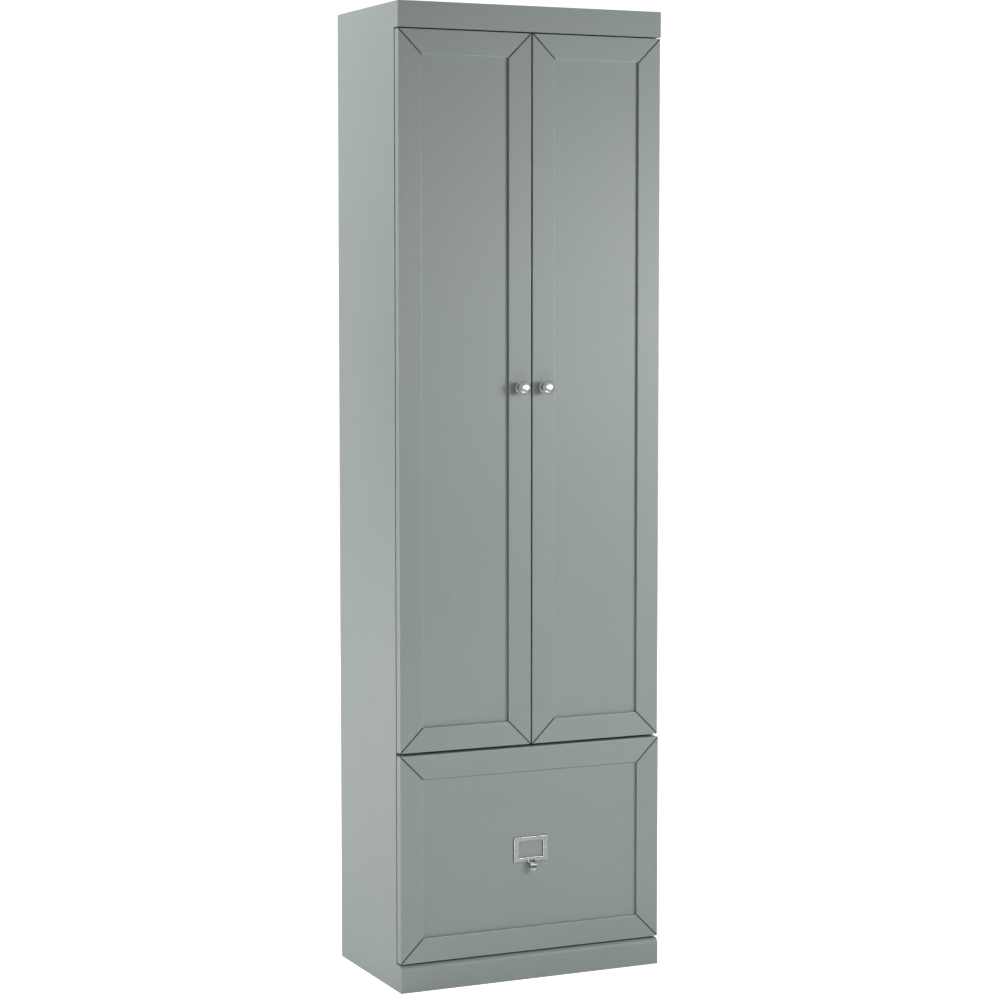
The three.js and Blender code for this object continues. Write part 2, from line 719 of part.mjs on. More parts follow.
// A flat metal frame around a window, with the pull below it.
function labelHolder() {
  const panelFace = DRAWER_FACE + PANEL_RECESS;
  const back = panelFace - FIT;
  const frame = rectanglePath(THREE.Shape, LABEL_HEIGHT / 2, LABEL_WIDTH / 2);
  frame.holes.push(rectanglePath(THREE.Path, LABEL_WINDOW_HEIGHT / 2, LABEL_WINDOW_WIDTH / 2));
  const plate = alongY(frame, back - LABEL_THICKNESS, back);
  return join(plate, pullTongue(panelFace)).translate(0, 0, LABEL_Z);
}

add('label_holder_pull', nickel, labelHolder());

// The origin lies at floor level under the middle of the box that holds the cabinet and its knobs.
cabinet.position.y = -(DEPTH - KNOB_REACH) / 2;

export default cabinet;
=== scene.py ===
"""Looks of a tall pantry cabinet: painted boards with eased edges, mitred frames on doors and drawer,
concealed hinges, ball-bearing slides and satin nickel pulls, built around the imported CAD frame.
Everything is in metres, in the frame's own axes: X to the right, Y to the wall, Z up."""

import json
from math import cos, hypot, pi, radians, sin, sqrt

import bmesh
import bpy
from mathutils import Matrix, Vector

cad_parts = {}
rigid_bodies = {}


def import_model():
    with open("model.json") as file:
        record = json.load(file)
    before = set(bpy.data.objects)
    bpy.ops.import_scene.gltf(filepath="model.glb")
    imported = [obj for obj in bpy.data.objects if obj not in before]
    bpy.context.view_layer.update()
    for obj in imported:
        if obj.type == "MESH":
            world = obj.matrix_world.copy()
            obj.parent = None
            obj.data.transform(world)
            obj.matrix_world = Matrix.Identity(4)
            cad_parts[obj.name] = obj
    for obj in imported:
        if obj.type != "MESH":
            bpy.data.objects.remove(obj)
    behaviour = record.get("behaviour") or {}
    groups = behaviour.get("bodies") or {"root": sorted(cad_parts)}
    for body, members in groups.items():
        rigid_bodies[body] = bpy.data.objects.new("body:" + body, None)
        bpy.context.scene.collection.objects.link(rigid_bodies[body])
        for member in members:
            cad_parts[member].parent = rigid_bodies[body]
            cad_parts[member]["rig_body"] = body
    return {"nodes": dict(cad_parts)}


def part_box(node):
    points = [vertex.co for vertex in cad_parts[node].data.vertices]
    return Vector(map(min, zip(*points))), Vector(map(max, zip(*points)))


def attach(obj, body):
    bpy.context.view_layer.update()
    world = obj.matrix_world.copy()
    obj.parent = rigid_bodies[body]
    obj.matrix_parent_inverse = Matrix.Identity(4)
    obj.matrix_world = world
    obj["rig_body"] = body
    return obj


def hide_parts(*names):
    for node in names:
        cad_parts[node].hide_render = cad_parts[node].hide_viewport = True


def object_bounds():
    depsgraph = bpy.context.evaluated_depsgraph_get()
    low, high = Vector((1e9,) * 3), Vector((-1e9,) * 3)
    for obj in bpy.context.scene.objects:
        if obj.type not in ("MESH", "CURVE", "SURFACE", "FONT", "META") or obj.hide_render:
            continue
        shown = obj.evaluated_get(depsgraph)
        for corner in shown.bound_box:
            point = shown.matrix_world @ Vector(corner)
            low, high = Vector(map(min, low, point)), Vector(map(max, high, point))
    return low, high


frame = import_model()
CAD_LOW, CAD_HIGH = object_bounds()

# ---- sizes

MM = 0.001
EASED = 1.5 * MM  # front edges of the doors' and the drawer front's members
EASED_BACK = 0.5 * MM  # their back edges
ARRIS = 0.7 * MM  # edges of carcass boards
FINE_EDGE = 0.35 * MM  # edges of metal parts
MEMBER_GAP = 0.42 * MM  # from each mitred end to the middle of its joint
PANEL_SLACK = 0.2 * MM  # between a panel and the groove that holds it
BACK_SLACK = 0.4 * MM  # between a back panel and its groove
TONGUE = 8 * MM  # of a panel, inside the groove of its frame
NOTCH_RADIUS = 3 * MM  # under the horn of each side
CUP_CENTRE = 22.5 * MM  # from the outer face of the side to the middle of a hinge cup
CUP_RADIUS = 17.5 * MM
POCKET_SLACK = 0.4 * MM  # round and under a hinge cup
POCKET_CUT = 14 * MM  # height of the shape that cuts the pocket, past the back of the door
PLINTH_RADIUS = 12 * MM
PIN_RADIUS = 2.5 * MM
PIN_HOLE_DEPTH = 10 * MM
PIN_PITCH = 32 * MM
PIN_HOLES_BEYOND = 2  # above and below the one in use
PIN_INSET = 40 * MM  # from a shelf's front edge, and from the back panel, to the pins
HINGE_HEIGHTS = ("lower", "middle", "upper")
SIDES = ("left", "right")
INWARD = {"left": 1, "right": -1}  # the way along X from each side to the middle
SHEET = 1.2 * MM  # sheet steel of the hinge cups and the slides
SEAT = 0.05 * MM  # between a fitting and the face it lies on
NEAR = 0.05 * MM  # how far off a mitre an edge may be and still belong to it
PAST = MM  # how far a cutter reaches past the face it cuts
GROOVE_DEPTH = 6 * MM  # of the grooves for the back panels and for the drawer's bottom
UP = Vector((0, 0, 1))
FORWARD = Vector((0, -1, 0))  # out of the cabinet
BACKWARD = Vector((0, 1, 0))

CASE_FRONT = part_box("middle_panel")[0].y
BACK_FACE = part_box("upper_back_panel")[0].y
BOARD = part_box("middle_panel")[1].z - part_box("middle_panel")[0].z


def outer_face(side):
    """X of the outside of a side panel."""
    return (CAD_LOW if side == "left" else CAD_HIGH).x


def inner_face(side):
    """X of its inside."""
    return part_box(f"{side}_side_panel")[1 if side == "left" else 0].x


# ---- node trees


def node(tree, kind, inputs=None, **settings):
    """Adds a node. An input is given by name or number, as a value or as the socket that feeds it."""
    made = tree.nodes.new(kind)
    for key, value in settings.items():
        setattr(made, key, value)
    for key, value in (inputs or {}).items():
        if isinstance(value, bpy.types.NodeSocket):
            tree.links.new(value, made.inputs[key])
        else:
            made.inputs[key].default_value = value
    return made


def maths(tree, operation, a, b=0.0):
    return node(tree, "ShaderNodeMath", {0: a, 1: b}, operation=operation).outputs[0]


def vector_maths(tree, operation, a, b):
    return node(tree, "ShaderNodeVectorMath", {0: a, 1: b}, operation=operation).outputs[0]


def noise(tree, vector, scale, detail=2.0, roughness=0.5, distortion=0.0):
    """Noise with scale in cells to the metre."""
    inputs = {"Vector": vector, "Scale": scale, "Detail": detail, "Roughness": roughness,
              "Distortion": distortion}
    return node(tree, "ShaderNodeTexNoise", inputs).outputs["Fac"]


def fit(tree, value, from_low, from_high, to_low, to_high):
    inputs = {"Value": value, "From Min": from_low, "From Max": from_high,
              "To Min": to_low, "To Max": to_high}
    return node(tree, "ShaderNodeMapRange", inputs, clamp=True).outputs["Result"]


def mixture(tree, a, share, b):
    """Two values added up, with a given share of the first."""
    return maths(tree, "ADD", maths(tree, "MULTIPLY", a, share), maths(tree, "MULTIPLY", b, 1 - share))


def attribute(tree, name):
    return node(tree, "ShaderNodeAttribute", attribute_name=name).outputs["Fac"]


def ramp(tree, factor, stops):
    """Colours by factor, from (position, colour) pairs in rising order."""
    made = node(tree, "ShaderNodeValToRGB", {"Fac": factor})
    elements = made.color_ramp.elements
    while len(elements) < len(stops):
        elements.new(0.5)
    for element, (position, colour) in zip(elements, stops):
        element.position = position
        element.color = (*colour, 1)
    return made.outputs["Color"]


def mix(tree, factor, a, b):
    return node(tree, "ShaderNodeMix", {0: factor, 6: a, 7: b}, data_type="RGBA").outputs[2]


def bump(tree, height, distance, strength=1.0, normal=None):
    inputs = {"Height": height, "Distance": distance, "Strength": strength}
    if normal is not None:
        inputs["Normal"] = normal
    return node(tree, "ShaderNodeBump", inputs).outputs["Normal"]


def principled(name, sockets):
    """A new material and its node tree, with constant sockets set on the shader itself."""
    made = bpy.data.materials.new(name)
    made.use_nodes = True
    shader = made.node_tree.nodes["Principled BSDF"]
    for key, value in sockets.items():
        shader.inputs[key].default_value = value
    return made, made.node_tree, shader


def wire(tree, shader, **sockets):
    for key, socket in sockets.items():
        tree.links.new(socket, shader.inputs[key.replace("_", " ")])


def rest_place(tree):
    """Coordinates in the row frame, which stay with a piece when it moves."""
    return node(tree, "ShaderNodeTexCoord").outputs["Object"]


def place_on_board(tree):
    """The same, moved by a different amount on each board, so no two boards match."""
    board = attribute(tree, "board")
    shift = {axis: maths(tree, "MULTIPLY", board, step) for axis, step in BOARD_SHIFT.items()}
    shift = node(tree, "ShaderNodeCombineXYZ", shift).outputs[0]
    return vector_maths(tree, "ADD", rest_place(tree), shift)


def stretched(tree, place, axis, share):
    """Coordinates that draw a pattern out along one axis, where they keep only a share of their length."""
    return vector_maths(tree, "MULTIPLY", place, tuple(share if each == axis else 1.0 for each in "xyz"))


def shades(colour, spread):
    """A darker and a lighter shade of a colour."""
    return tuple(c * (1 - spread) for c in colour), tuple(c * (1 + spread) for c in colour)


def shade(colour, change):
    """A colour made lighter by a share, or darker by a negative one, with its alpha."""
    return (*(c * (1 + change) for c in colour), 1)


# ---- materials

SAGE = (0.342, 0.391, 0.371)
BIRCH = (0.56, 0.40, 0.245)
FLECK = (0.30, 0.19, 0.10)
FIBRE = (0.17, 0.095, 0.05)
BOARD_SHIFT = {"X": 3.71, "Y": 5.13, "Z": 2.37}  # metres from one board's pattern to the next


def sage_paint(grain):
    """Satin paint over a close-grained board: patches of short pores show through as shallow ticks."""
    made, tree, shader = principled(f"sage_paint_grain_{grain}", {"Specular IOR Level": 0.42})
    place = place_on_board(tree)
    pores = noise(tree, stretched(tree, place, grain, 0.17), 250.0, 2.0, 0.6, 0.3)
    fibres = noise(tree, stretched(tree, place, grain, 0.045), 760.0, 3.0, 0.62)
    cloud = noise(tree, place, 2.6)
    patches = noise(tree, stretched(tree, place, grain, 0.6), 11.0, 3.0, 0.6)
    peel = noise(tree, place, 1300.0, 1.0)
    patchy = fit(tree, patches, 0.46, 0.60, 0.1, 1.0)
    ticks = maths(tree, "MULTIPLY", fit(tree, pores, 0.58, 0.70, 0.0, 1.0), patchy)
    dark, light = shades(SAGE, 0.03)
    colour = ramp(tree, mixture(tree, fibres, 0.4, cloud), [(0.36, dark), (0.5, SAGE), (0.64, light)])
    colour = mix(tree, maths(tree, "MULTIPLY", ticks, 0.5), colour, shade(SAGE, -0.1))
    # Eased edges are painted lighter, partly as wear and partly as a painted highlight; the walls of the
    # mitre grooves are painted dark as painted shade.
    arris = attribute(tree, "arris")
    rubbed_and_highlit = maths(tree, "MAXIMUM", arris, 0.0)
    painted_groove_shade = maths(tree, "MAXIMUM", maths(tree, "MULTIPLY", arris, -1.0), 0.0)
    colour = mix(tree, maths(tree, "MULTIPLY", rubbed_and_highlit, 0.8), colour, shade(SAGE, 0.3))
    colour = mix(tree, painted_groove_shade, colour, shade(SAGE, -0.85))
    uneven = maths(tree, "ADD", fibres, maths(tree, "MULTIPLY", cloud, 0.5))
    gloss = fit(tree, uneven, 0.5, 1.0, 0.42, 0.50)
    gloss = maths(tree, "SUBTRACT", gloss, maths(tree, "MULTIPLY", rubbed_and_highlit, 0.18))
    sunk = bump(tree, maths(tree, "SUBTRACT", 1.0, ticks), 0.06 * MM, 0.9)
    fibre_bump = bump(tree, fibres, 0.05 * MM, 0.5, sunk)
    normal = bump(tree, peel, 0.03 * MM, 0.4, fibre_bump)
    wire(tree, shader, Base_Color=colour, Roughness=gloss, Normal=normal)
    return made


def drawer_wood(grain):
    """Birch under a clear lacquer."""
    sockets = {"Coat Weight": 0.25, "Coat Roughness": 0.3}
    made, tree, shader = principled(f"drawer_wood_grain_{grain}", sockets)
    place = stretched(tree, place_on_board(tree), grain, 0.05)
    fibres = noise(tree, place, 700.0, 4.0, 0.65)
    rings = noise(tree, place, 30.0, 5.0, 0.6, 1.6)
    flecks = noise(tree, place, 240.0)
    dark, light = shades(BIRCH, 0.2)
    colour = ramp(tree, mixture(tree, fibres, 0.35, rings), [(0.34, dark), (0.5, BIRCH), (0.68, light)])
    colour = mix(tree, fit(tree, flecks, 0.6, 0.72, 0.0, 0.3), colour, (*FLECK, 1))
    normal = bump(tree, fibres, 0.12 * MM, 0.5)
    wire(tree, shader, Base_Color=colour, Roughness=fit(tree, fibres, 0.3, 0.7, 0.42, 0.58), Normal=normal)
    return made


def hardboard():
    """Thin fibreboard, painted on the face that shows inside, bare on the rest."""
    made, tree, shader = principled("hardboard", {"Specular IOR Level": 0.3})
    place = place_on_board(tree)
    depth = node(tree, "ShaderNodeSeparateXYZ", {0: rest_place(tree)}).outputs["Y"]
    bare = fit(tree, depth, BACK_FACE + 0.5 * MM, BACK_FACE + 0.7 * MM, 0.0, 1.0)
    fibres = noise(tree, place, 900.0, 4.0, 0.7)
    clumps = noise(tree, place, 60.0, 3.0, 0.6)
    dark, light = shades(FIBRE, 0.3)
    brown = ramp(tree, mixture(tree, fibres, 0.6, clumps), [(0.35, dark), (0.65, light)])
    dark, light = shades(SAGE, 0.03)
    painted = ramp(tree, clumps, [(0.3, dark), (0.7, light)])
    rough = maths(tree, "ADD", maths(tree, "MULTIPLY", bare, 0.25), fit(tree, fibres, 0.3, 0.7, 0.5, 0.6))
    wire(tree, shader, Base_Color=mix(tree, bare, painted, brown), Roughness=rough,
         Normal=bump(tree, fibres, 0.12 * MM, 0.6))
    return made


def metal(name, colour, roughness, streak_axis, blotch):
    """Plated metal: fine drawing lines along one axis, slightly uneven plating, and painted shade and dark
    reflections in places.
    """
    made, tree, shader = principled(name, {"Metallic": 1.0})
    place = place_on_board(tree)
    lines = noise(tree, stretched(tree, place, streak_axis, 0.04), 2600.0, 2.0, 0.6)
    plating = noise(tree, place, 130.0, 3.0, 0.6)
    dark, light = shades(colour, blotch)
    tint = ramp(tree, plating, [(0.3, dark), (0.7, light)])
    # Where the face attribute asks, the metal is painted dark as painted shade and dark reflections.
    tint = mix(tree, attribute(tree, "painted_shade"), tint, shade(colour, -0.88))
    gloss = fit(tree, maths(tree, "ADD", lines, plating), 0.6, 1.4, roughness - 0.06, roughness + 0.08)
    wire(tree, shader, Base_Color=tint, Roughness=gloss, Normal=bump(tree, lines, 0.01 * MM, 0.5))
    return made


def clear_bumper():
    """Soft clear plastic with a slightly dull, dusty surface."""
    made, tree, shader = principled("clear_bumper", {"Transmission Weight": 0.75, "IOR": 1.45})
    place = place_on_board(tree)
    dust = noise(tree, place, 800.0, 3.0, 0.6)
    colour = ramp(tree, dust, [(0.3, (0.78, 0.79, 0.77)), (0.7, (0.9, 0.91, 0.9))])
    wire(tree, shader, Base_Color=colour, Roughness=fit(tree, dust, 0.3, 0.7, 0.15, 0.35),
         Normal=bump(tree, dust, 0.03 * MM, 0.3))
    return made


PAINT = {grain: sage_paint(grain) for grain in "xz"}
WOOD = {grain: drawer_wood(grain) for grain in "xy"}
HARDBOARD = hardboard()
ZINC = metal("zinc_steel", (0.52, 0.53, 0.545), 0.34, "y", 0.08)
NICKEL = metal("satin_nickel", (0.57, 0.60, 0.58), 0.25, "x", 0.04)
CLEAR = clear_bumper()


# ---- mesh building


# Values of the face attribute "arris": an edge rubbed lighter, partly wear and partly a painted highlight,
# and the flank and wall of a mitre's groove, painted dark as painted shade.
RUBBED_AND_HIGHLIT = 1.0
FLANK = -0.5
PAINTED_GROOVE_SHADE = -1.0
SHARP = radians(30)


def ease(bm, radius, segments=3, keep=None):
    """Rounds the sharp edges, apart from those that keep() names, and marks the new faces as arrises."""
    mark = bm.faces.layers.float.get("arris") or bm.faces.layers.float.new("arris")
    bm.normal_update()
    sharp = [e for e in bm.edges if e.is_manifold and e.calc_face_angle() > SHARP]
    sharp = [e for e in sharp if not (keep and keep(e))]
    made = bmesh.ops.bevel(bm, geom=sharp, offset=radius, offset_type="OFFSET", segments=segments,
                           profile=0.5, affect="EDGES", clamp_overlap=True)
    # The mark makes the paint lighter there: partly wear, partly a painted highlight.
    for face in made["faces"]:
        face[mark] = RUBBED_AND_HIGHLIT
    return bm


def block(low, high, radius=ARRIS, segments=3):
    """A box between two opposite corners, with eased edges."""
    low, high = Vector(map(min, low, high)), Vector(map(max, low, high))
    bm = bmesh.new()
    bmesh.ops.create_cube(bm, size=1, matrix=Matrix.LocRotScale((low + high) / 2, None, high - low))
    return ease(bm, radius, segments)


def loft(rings, closed=False):
    """A closed solid through rings of points, with flat ends, or one that joins up with its own start."""
    bm = bmesh.new()
    rows = [[bm.verts.new(point) for point in ring] for ring in rings]
    for a, b in zip(rows, rows[1:] + rows[:1] if closed else rows[1:]):
        for i in range(len(a)):
            j = (i + 1) % len(a)
            bm.faces.new((a[i], a[j], b[j], b[i]))
    if not closed:
        bm.faces.new(rows[0][::-1])
        bm.faces.new(rows[-1])
    return bm


def at(axis, a, b, t):
    """The point with outline coordinates (a, b) at t along the axis."""
    return {"x": Vector((t, a, b)), "y": Vector((a, t, b)), "z": Vector((a, b, t))}[axis]


def ring(points, axis, t):
    """An outline's points, all at t along the axis."""
    return [at(axis, a, b, t) for a, b in points]


def extrude(outline, axis, start, end, radius=0.0, segments=3):
    bm = outward(loft([ring(outline, axis, t) for t in (start, end)]))
    return ease(bm, radius, segments) if radius else bm


def arc(centre, radius, start, end, steps=6):
    """Points on an arc, with angles in degrees."""
    angles = [radians(start + (end - start) * i / steps) for i in range(steps + 1)]
    return [(centre[0] + radius * cos(a), centre[1] + radius * sin(a)) for a in angles]


def rounded(half_a, half_b, radius, steps=6, centre=(0, 0)):
    """A rectangle with round corners."""
    points = []
    for i, (sa, sb) in enumerate(((1, 1), (-1, 1), (-1, -1), (1, -1))):
        corner = (centre[0] + sa * (half_a - radius), centre[1] + sb * (half_b - radius))
        points += arc(corner, radius, 90 * i, 90 * i + 90, steps)
    return points


def lathe(profile, base, direction, segments=48):
    """Turns (radius, height) points about an axis; the profile starts and ends on it, or closes on itself."""
    bm = bmesh.new()
    spin = Vector(direction).to_track_quat("Z", "Y").to_matrix()
    turns = [2 * pi * i / segments for i in range(segments)]
    rows = []
    for radius, height in profile:
        around = turns if radius else turns[:1]
        ring = [Vector((radius * cos(a), radius * sin(a), height)) for a in around]
        rows.append([bm.verts.new(Vector(base) + spin @ point) for point in ring])
    closed = len(rows[0]) > 1
    for a, b in zip(rows, rows[1:] + rows[:1] if closed else rows[1:]):
        for i in range(segments):
            j = (i + 1) % segments
            corners = (a[i % len(a)], a[j % len(a)], b[j % len(b)], b[i % len(b)])
            bm.faces.new(list(dict.fromkeys(corners)))
    return bm


def drill(radius, depth, start, direction, segments=24):
    """A round bar that leads from start along direction, to cut a hole with."""
    return lathe([(0, 0), (radius, 0), (radius, depth), (0, depth)], start, direction, segments)


def curve_through(points, steps=5):
    """A smooth line through points in a plane."""
    padded = [points[0], *points, points[-1]]
    line = []
    for p0, p1, p2, p3 in zip(padded, padded[1:], padded[2:], padded[3:]):
        for i in range(steps):
            t = i / steps
            line.append(tuple(0.5 * (2 * b + (c - a) * t + (2 * a - 5 * b + 4 * c - d) * t ** 2
                                     + (3 * b - a - 3 * c + d) * t ** 3)
                              for a, b, c, d in zip(p0, p1, p2, p3)))
    return [*line, points[-1]]


def gather(parts):
    """One bmesh that holds all the parts."""
    whole = bmesh.new()
    for part in parts:
        held = bpy.data.meshes.new("held")
        outward(part).to_mesh(held)
        part.free()
        whole.from_mesh(held)
        bpy.data.meshes.remove(held)
    return whole


def link(name, data):
    """A new object of the scene."""
    obj = bpy.data.objects.new(name, data)
    bpy.context.scene.collection.objects.link(obj)
    return obj


def outward(bm):
    """Turns all faces the right way out."""
    bmesh.ops.recalc_face_normals(bm, faces=bm.faces)
    return bm


def store(name, bm, finish):
    mesh = bpy.data.meshes.new(name)
    outward(bm).to_mesh(mesh)
    bm.free()
    mesh.materials.append(finish)
    return link(name, mesh)


def bake(obj):
    """Makes the result of obj's modifiers its own mesh."""
    graph = bpy.context.evaluated_depsgraph_get()
    made = bpy.data.meshes.new_from_object(obj.evaluated_get(graph))
    obj.modifiers.clear()
    obj.data = made
    return obj


def release(obj):
    """Obj's mesh as a bmesh; obj itself is removed."""
    mesh = obj.data
    held = bmesh.new()
    held.from_mesh(mesh)
    bpy.data.objects.remove(obj)
    bpy.data.meshes.remove(mesh)
    return held


def boolean(obj, bm, operation="DIFFERENCE"):
    """Cuts the closed shapes in bm out of obj, or joins them to it."""
    tool = store("tool", bm, obj.data.materials[0])
    step = obj.modifiers.new("boolean", "BOOLEAN")
    step.operation = operation
    step.solver = "EXACT"
    step.object = tool
    bake(obj)
    mesh = tool.data
    bpy.data.objects.remove(tool)
    bpy.data.meshes.remove(mesh)
    return obj


boards = 0


def dress(obj, crease=34):
    """Smooth shading over round stretches with flat faces kept flat, and a number for the grain."""
    global boards
    boards += 1
    mesh = obj.data
    mesh.shade_smooth()
    mesh.set_sharp_from_angle(angle=radians(crease))
    number = mesh.attributes.new("board", "FLOAT", "POINT")
    number.data.foreach_set("value", [float(boards)] * len(mesh.vertices))
    normals = obj.modifiers.new("flat faces", "WEIGHTED_NORMAL")
    normals.keep_sharp = True
    return obj


def stand_in(node_name, obj, crease=34):
    """obj is shown in place of a CAD node and moves with that node's body."""
    dress(obj, crease)
    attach(obj, frame["nodes"][node_name]["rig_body"])
    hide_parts(node_name)


def piece(name, bm, body, finish=ZINC, crease=34):
    """A piece that has no CAD node of its own."""
    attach(dress(store(name, bm, finish), crease), body)


def board(node_name, finish, radius=ARRIS, segments=3):
    """A plain board or sheet with eased edges, in the box of its CAD node."""
    stand_in(node_name, store(f"{node_name}_fine", block(*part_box(node_name), radius, segments), finish))


# ---- screws


def cross_recess(size, depth):
    """A cross-shaped cutter that narrows towards its tip, at the top of a screw's head."""
    arm_share = 0.28
    tip_share = 0.7
    rings = []
    for height, scale in ((0.2 * MM, 1.0), (-depth, tip_share)):
        a, b = size * scale, arm_share * size * scale
        outline = [(a, b), (b, b), (b, a), (-b, a), (-b, b), (-a, b),
                   (-a, -b), (-b, -b), (-b, -a), (b, -a), (b, -b), (a, -b)]
        rings.append(ring(outline, "z", height))
    return loft(rings)


def screw_template(name, profile, recess, top):
    """One screw head, with its seat at the origin and facing +Z; copies of its mesh are set in place."""
    obj = store(name, lathe(profile, (0, 0, 0), UP, 24), ZINC)
    cutter = cross_recess(*recess)
    bmesh.ops.translate(cutter, verts=cutter.verts, vec=(0, 0, top))
    boolean(obj, cutter)
    mesh = obj.data
    bpy.data.objects.remove(obj)
    return mesh


def dome(radius, height, straight):
    """(radius, height) points of a dome on a straight foot, whose height is a share of the whole."""
    turns = [radians(a) for a in range(0, 90, 15)]
    return [(radius * cos(a), height * (straight + (1 - straight) * sin(a))) for a in turns]


PAN_RADIUS = 3.4 * MM
PAN_HEIGHT = 1.7 * MM
SHANK = 1.7 * MM
PAN_SCREW = screw_template(
    "pan_screw",
    [(0, -3 * MM), (SHANK, -3 * MM), (SHANK, 0), (PAN_RADIUS, 0), *dome(PAN_RADIUS, PAN_HEIGHT, 0.35),
     (0, PAN_HEIGHT)],
    (1.9 * MM, 1.1 * MM), PAN_HEIGHT)
FLAT_SCREW = screw_template(
    "flat_screw",
    [(0, -4 * MM), (SHANK, -4 * MM), (SHANK, -2 * MM), (3.7 * MM, -0.3 * MM), (3.8 * MM, 0),
     (3.0 * MM, 0.25 * MM), (0, 0.35 * MM)],
    (1.8 * MM, 1.0 * MM), 0.35 * MM)


def screws(name, template, spots, direction, body, scale=1.0):
    """Copies of one screw, each turned a little differently about its own axis."""
    first_turn, next_turn = 11, 37
    whole = bmesh.new()
    facing = Vector(direction).to_track_quat("Z", "Y").to_matrix().to_4x4()
    for count, spot in enumerate(spots):
        start = len(whole.verts)
        whole.from_mesh(template)
        whole.verts.ensure_lookup_table()
        turn = Matrix.Rotation(radians(next_turn * count + first_turn), 4, "Z")
        matrix = Matrix.Translation(Vector(spot)) @ facing @ turn @ Matrix.Scale(scale, 4)
        bmesh.ops.transform(whole, matrix=matrix, verts=whole.verts[start:])
    piece(name, whole, body)


# ---- sides


def shelf_pin_spots(shelf):
    """(y, z) of the two pins that carry one end of a shelf."""
    low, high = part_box(shelf)
    return [(y, low.z - PIN_RADIUS) for y in (low.y + PIN_INSET, BACK_FACE - PIN_INSET)]


PINNED_SHELVES = ("lower_shelf", "upper_shelf", "top_shelf")


def side_panel(side):
    """A side with its horn, mitred to the valance, the groove for the back and the rows of pin holes."""
    name = f"{side}_side_panel"
    low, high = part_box(name)
    outer, inner = (low.x, high.x) if side == "left" else (high.x, low.x)
    inward = INWARD[side]
    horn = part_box("valance")[0].z
    notch = arc((CASE_FRONT - NOTCH_RADIUS, horn - NOTCH_RADIUS), NOTCH_RADIUS, 90, 0, 4)
    rings = []
    for x, front in ((outer, low.y), (inner, low.y + BOARD)):
        outline = [(front, horn), *notch, (CASE_FRONT, low.z), (high.y, low.z), (high.y, high.z),
                   (front, high.z)]
        rings.append(ring(outline, "x", x))
    bm = loft(rings)
    bmesh.ops.remove_doubles(bm, verts=bm.verts, dist=0.01 * MM)
    outward(bm)

    def on_mitre(edge):
        return all(abs(v.co.y - low.y - abs(v.co.x - outer)) < NEAR for v in edge.verts)

    obj = store(f"{name}_fine", ease(bm, ARRIS, keep=on_mitre), PAINT["z"])
    back_low, back_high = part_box("upper_back_panel")
    groove = block((inner - inward * GROOVE_DEPTH, back_low.y - BACK_SLACK, low.z - PAST),
                   (inner + inward * PAST, back_high.y + BACK_SLACK, high.z + PAST), 0.2 * MM, 1)
    holes = []
    for shelf in PINNED_SHELVES:
        for y, z in shelf_pin_spots(shelf):
            for step in range(-PIN_HOLES_BEYOND, PIN_HOLES_BEYOND + 1):
                start = (inner + inward * PAST, y, z + step * PIN_PITCH)
                holes.append(drill(PIN_RADIUS, PIN_HOLE_DEPTH + PAST, start, (-inward, 0, 0)))
    boolean(obj, gather([groove, *holes]))
    stand_in(name, obj)


for side in SIDES:
    side_panel(side)


# ---- boards of the carcass

for name in ("top_panel", "middle_panel", "bottom_panel",
             "lower_shelf", "centre_shelf", "upper_shelf", "top_shelf"):
    board(name, PAINT["x"])
for name in ("upper_back_panel", "lower_back_panel"):
    board(name, HARDBOARD, 0.3 * MM, 2)


def valance():
    """A board with mitred ends, between the horns of the sides."""
    low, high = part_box("valance")
    reach = high.y - low.y
    plan = [(low.x, low.y), (high.x, low.y), (high.x - reach, high.y), (low.x + reach, high.y)]
    bm = outward(loft([ring(plan, "z", z) for z in (low.z, high.z)]))

    def on_mitre(edge):
        return all(abs(v.co.y - low.y - min(v.co.x - low.x, high.x - v.co.x)) < NEAR for v in edge.verts)

    stand_in("valance", store("valance_fine", ease(bm, ARRIS, keep=on_mitre), PAINT["x"]))


valance()


def plinth():
    """A board with a round upper edge in front."""
    low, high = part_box("plinth")
    section = [(low.y, low.z), (high.y, low.z), (high.y, high.z),
               *arc((low.y + PLINTH_RADIUS, high.z - PLINTH_RADIUS), PLINTH_RADIUS, 90, 180, 12)]
    obj = store("plinth_fine", extrude(section, "x", low.x, high.x, ARRIS), PAINT["x"])
    stand_in("plinth", obj)


plinth()


# ---- mitred frames


def quarter(radius, steps=4):
    """(inset, depth) pairs round an eased edge, from the face to the side."""
    turns = [pi / 2 * i / steps for i in range(steps + 1)]
    return [(radius * (1 - sin(a)), radius * (1 - cos(a))) for a in turns]


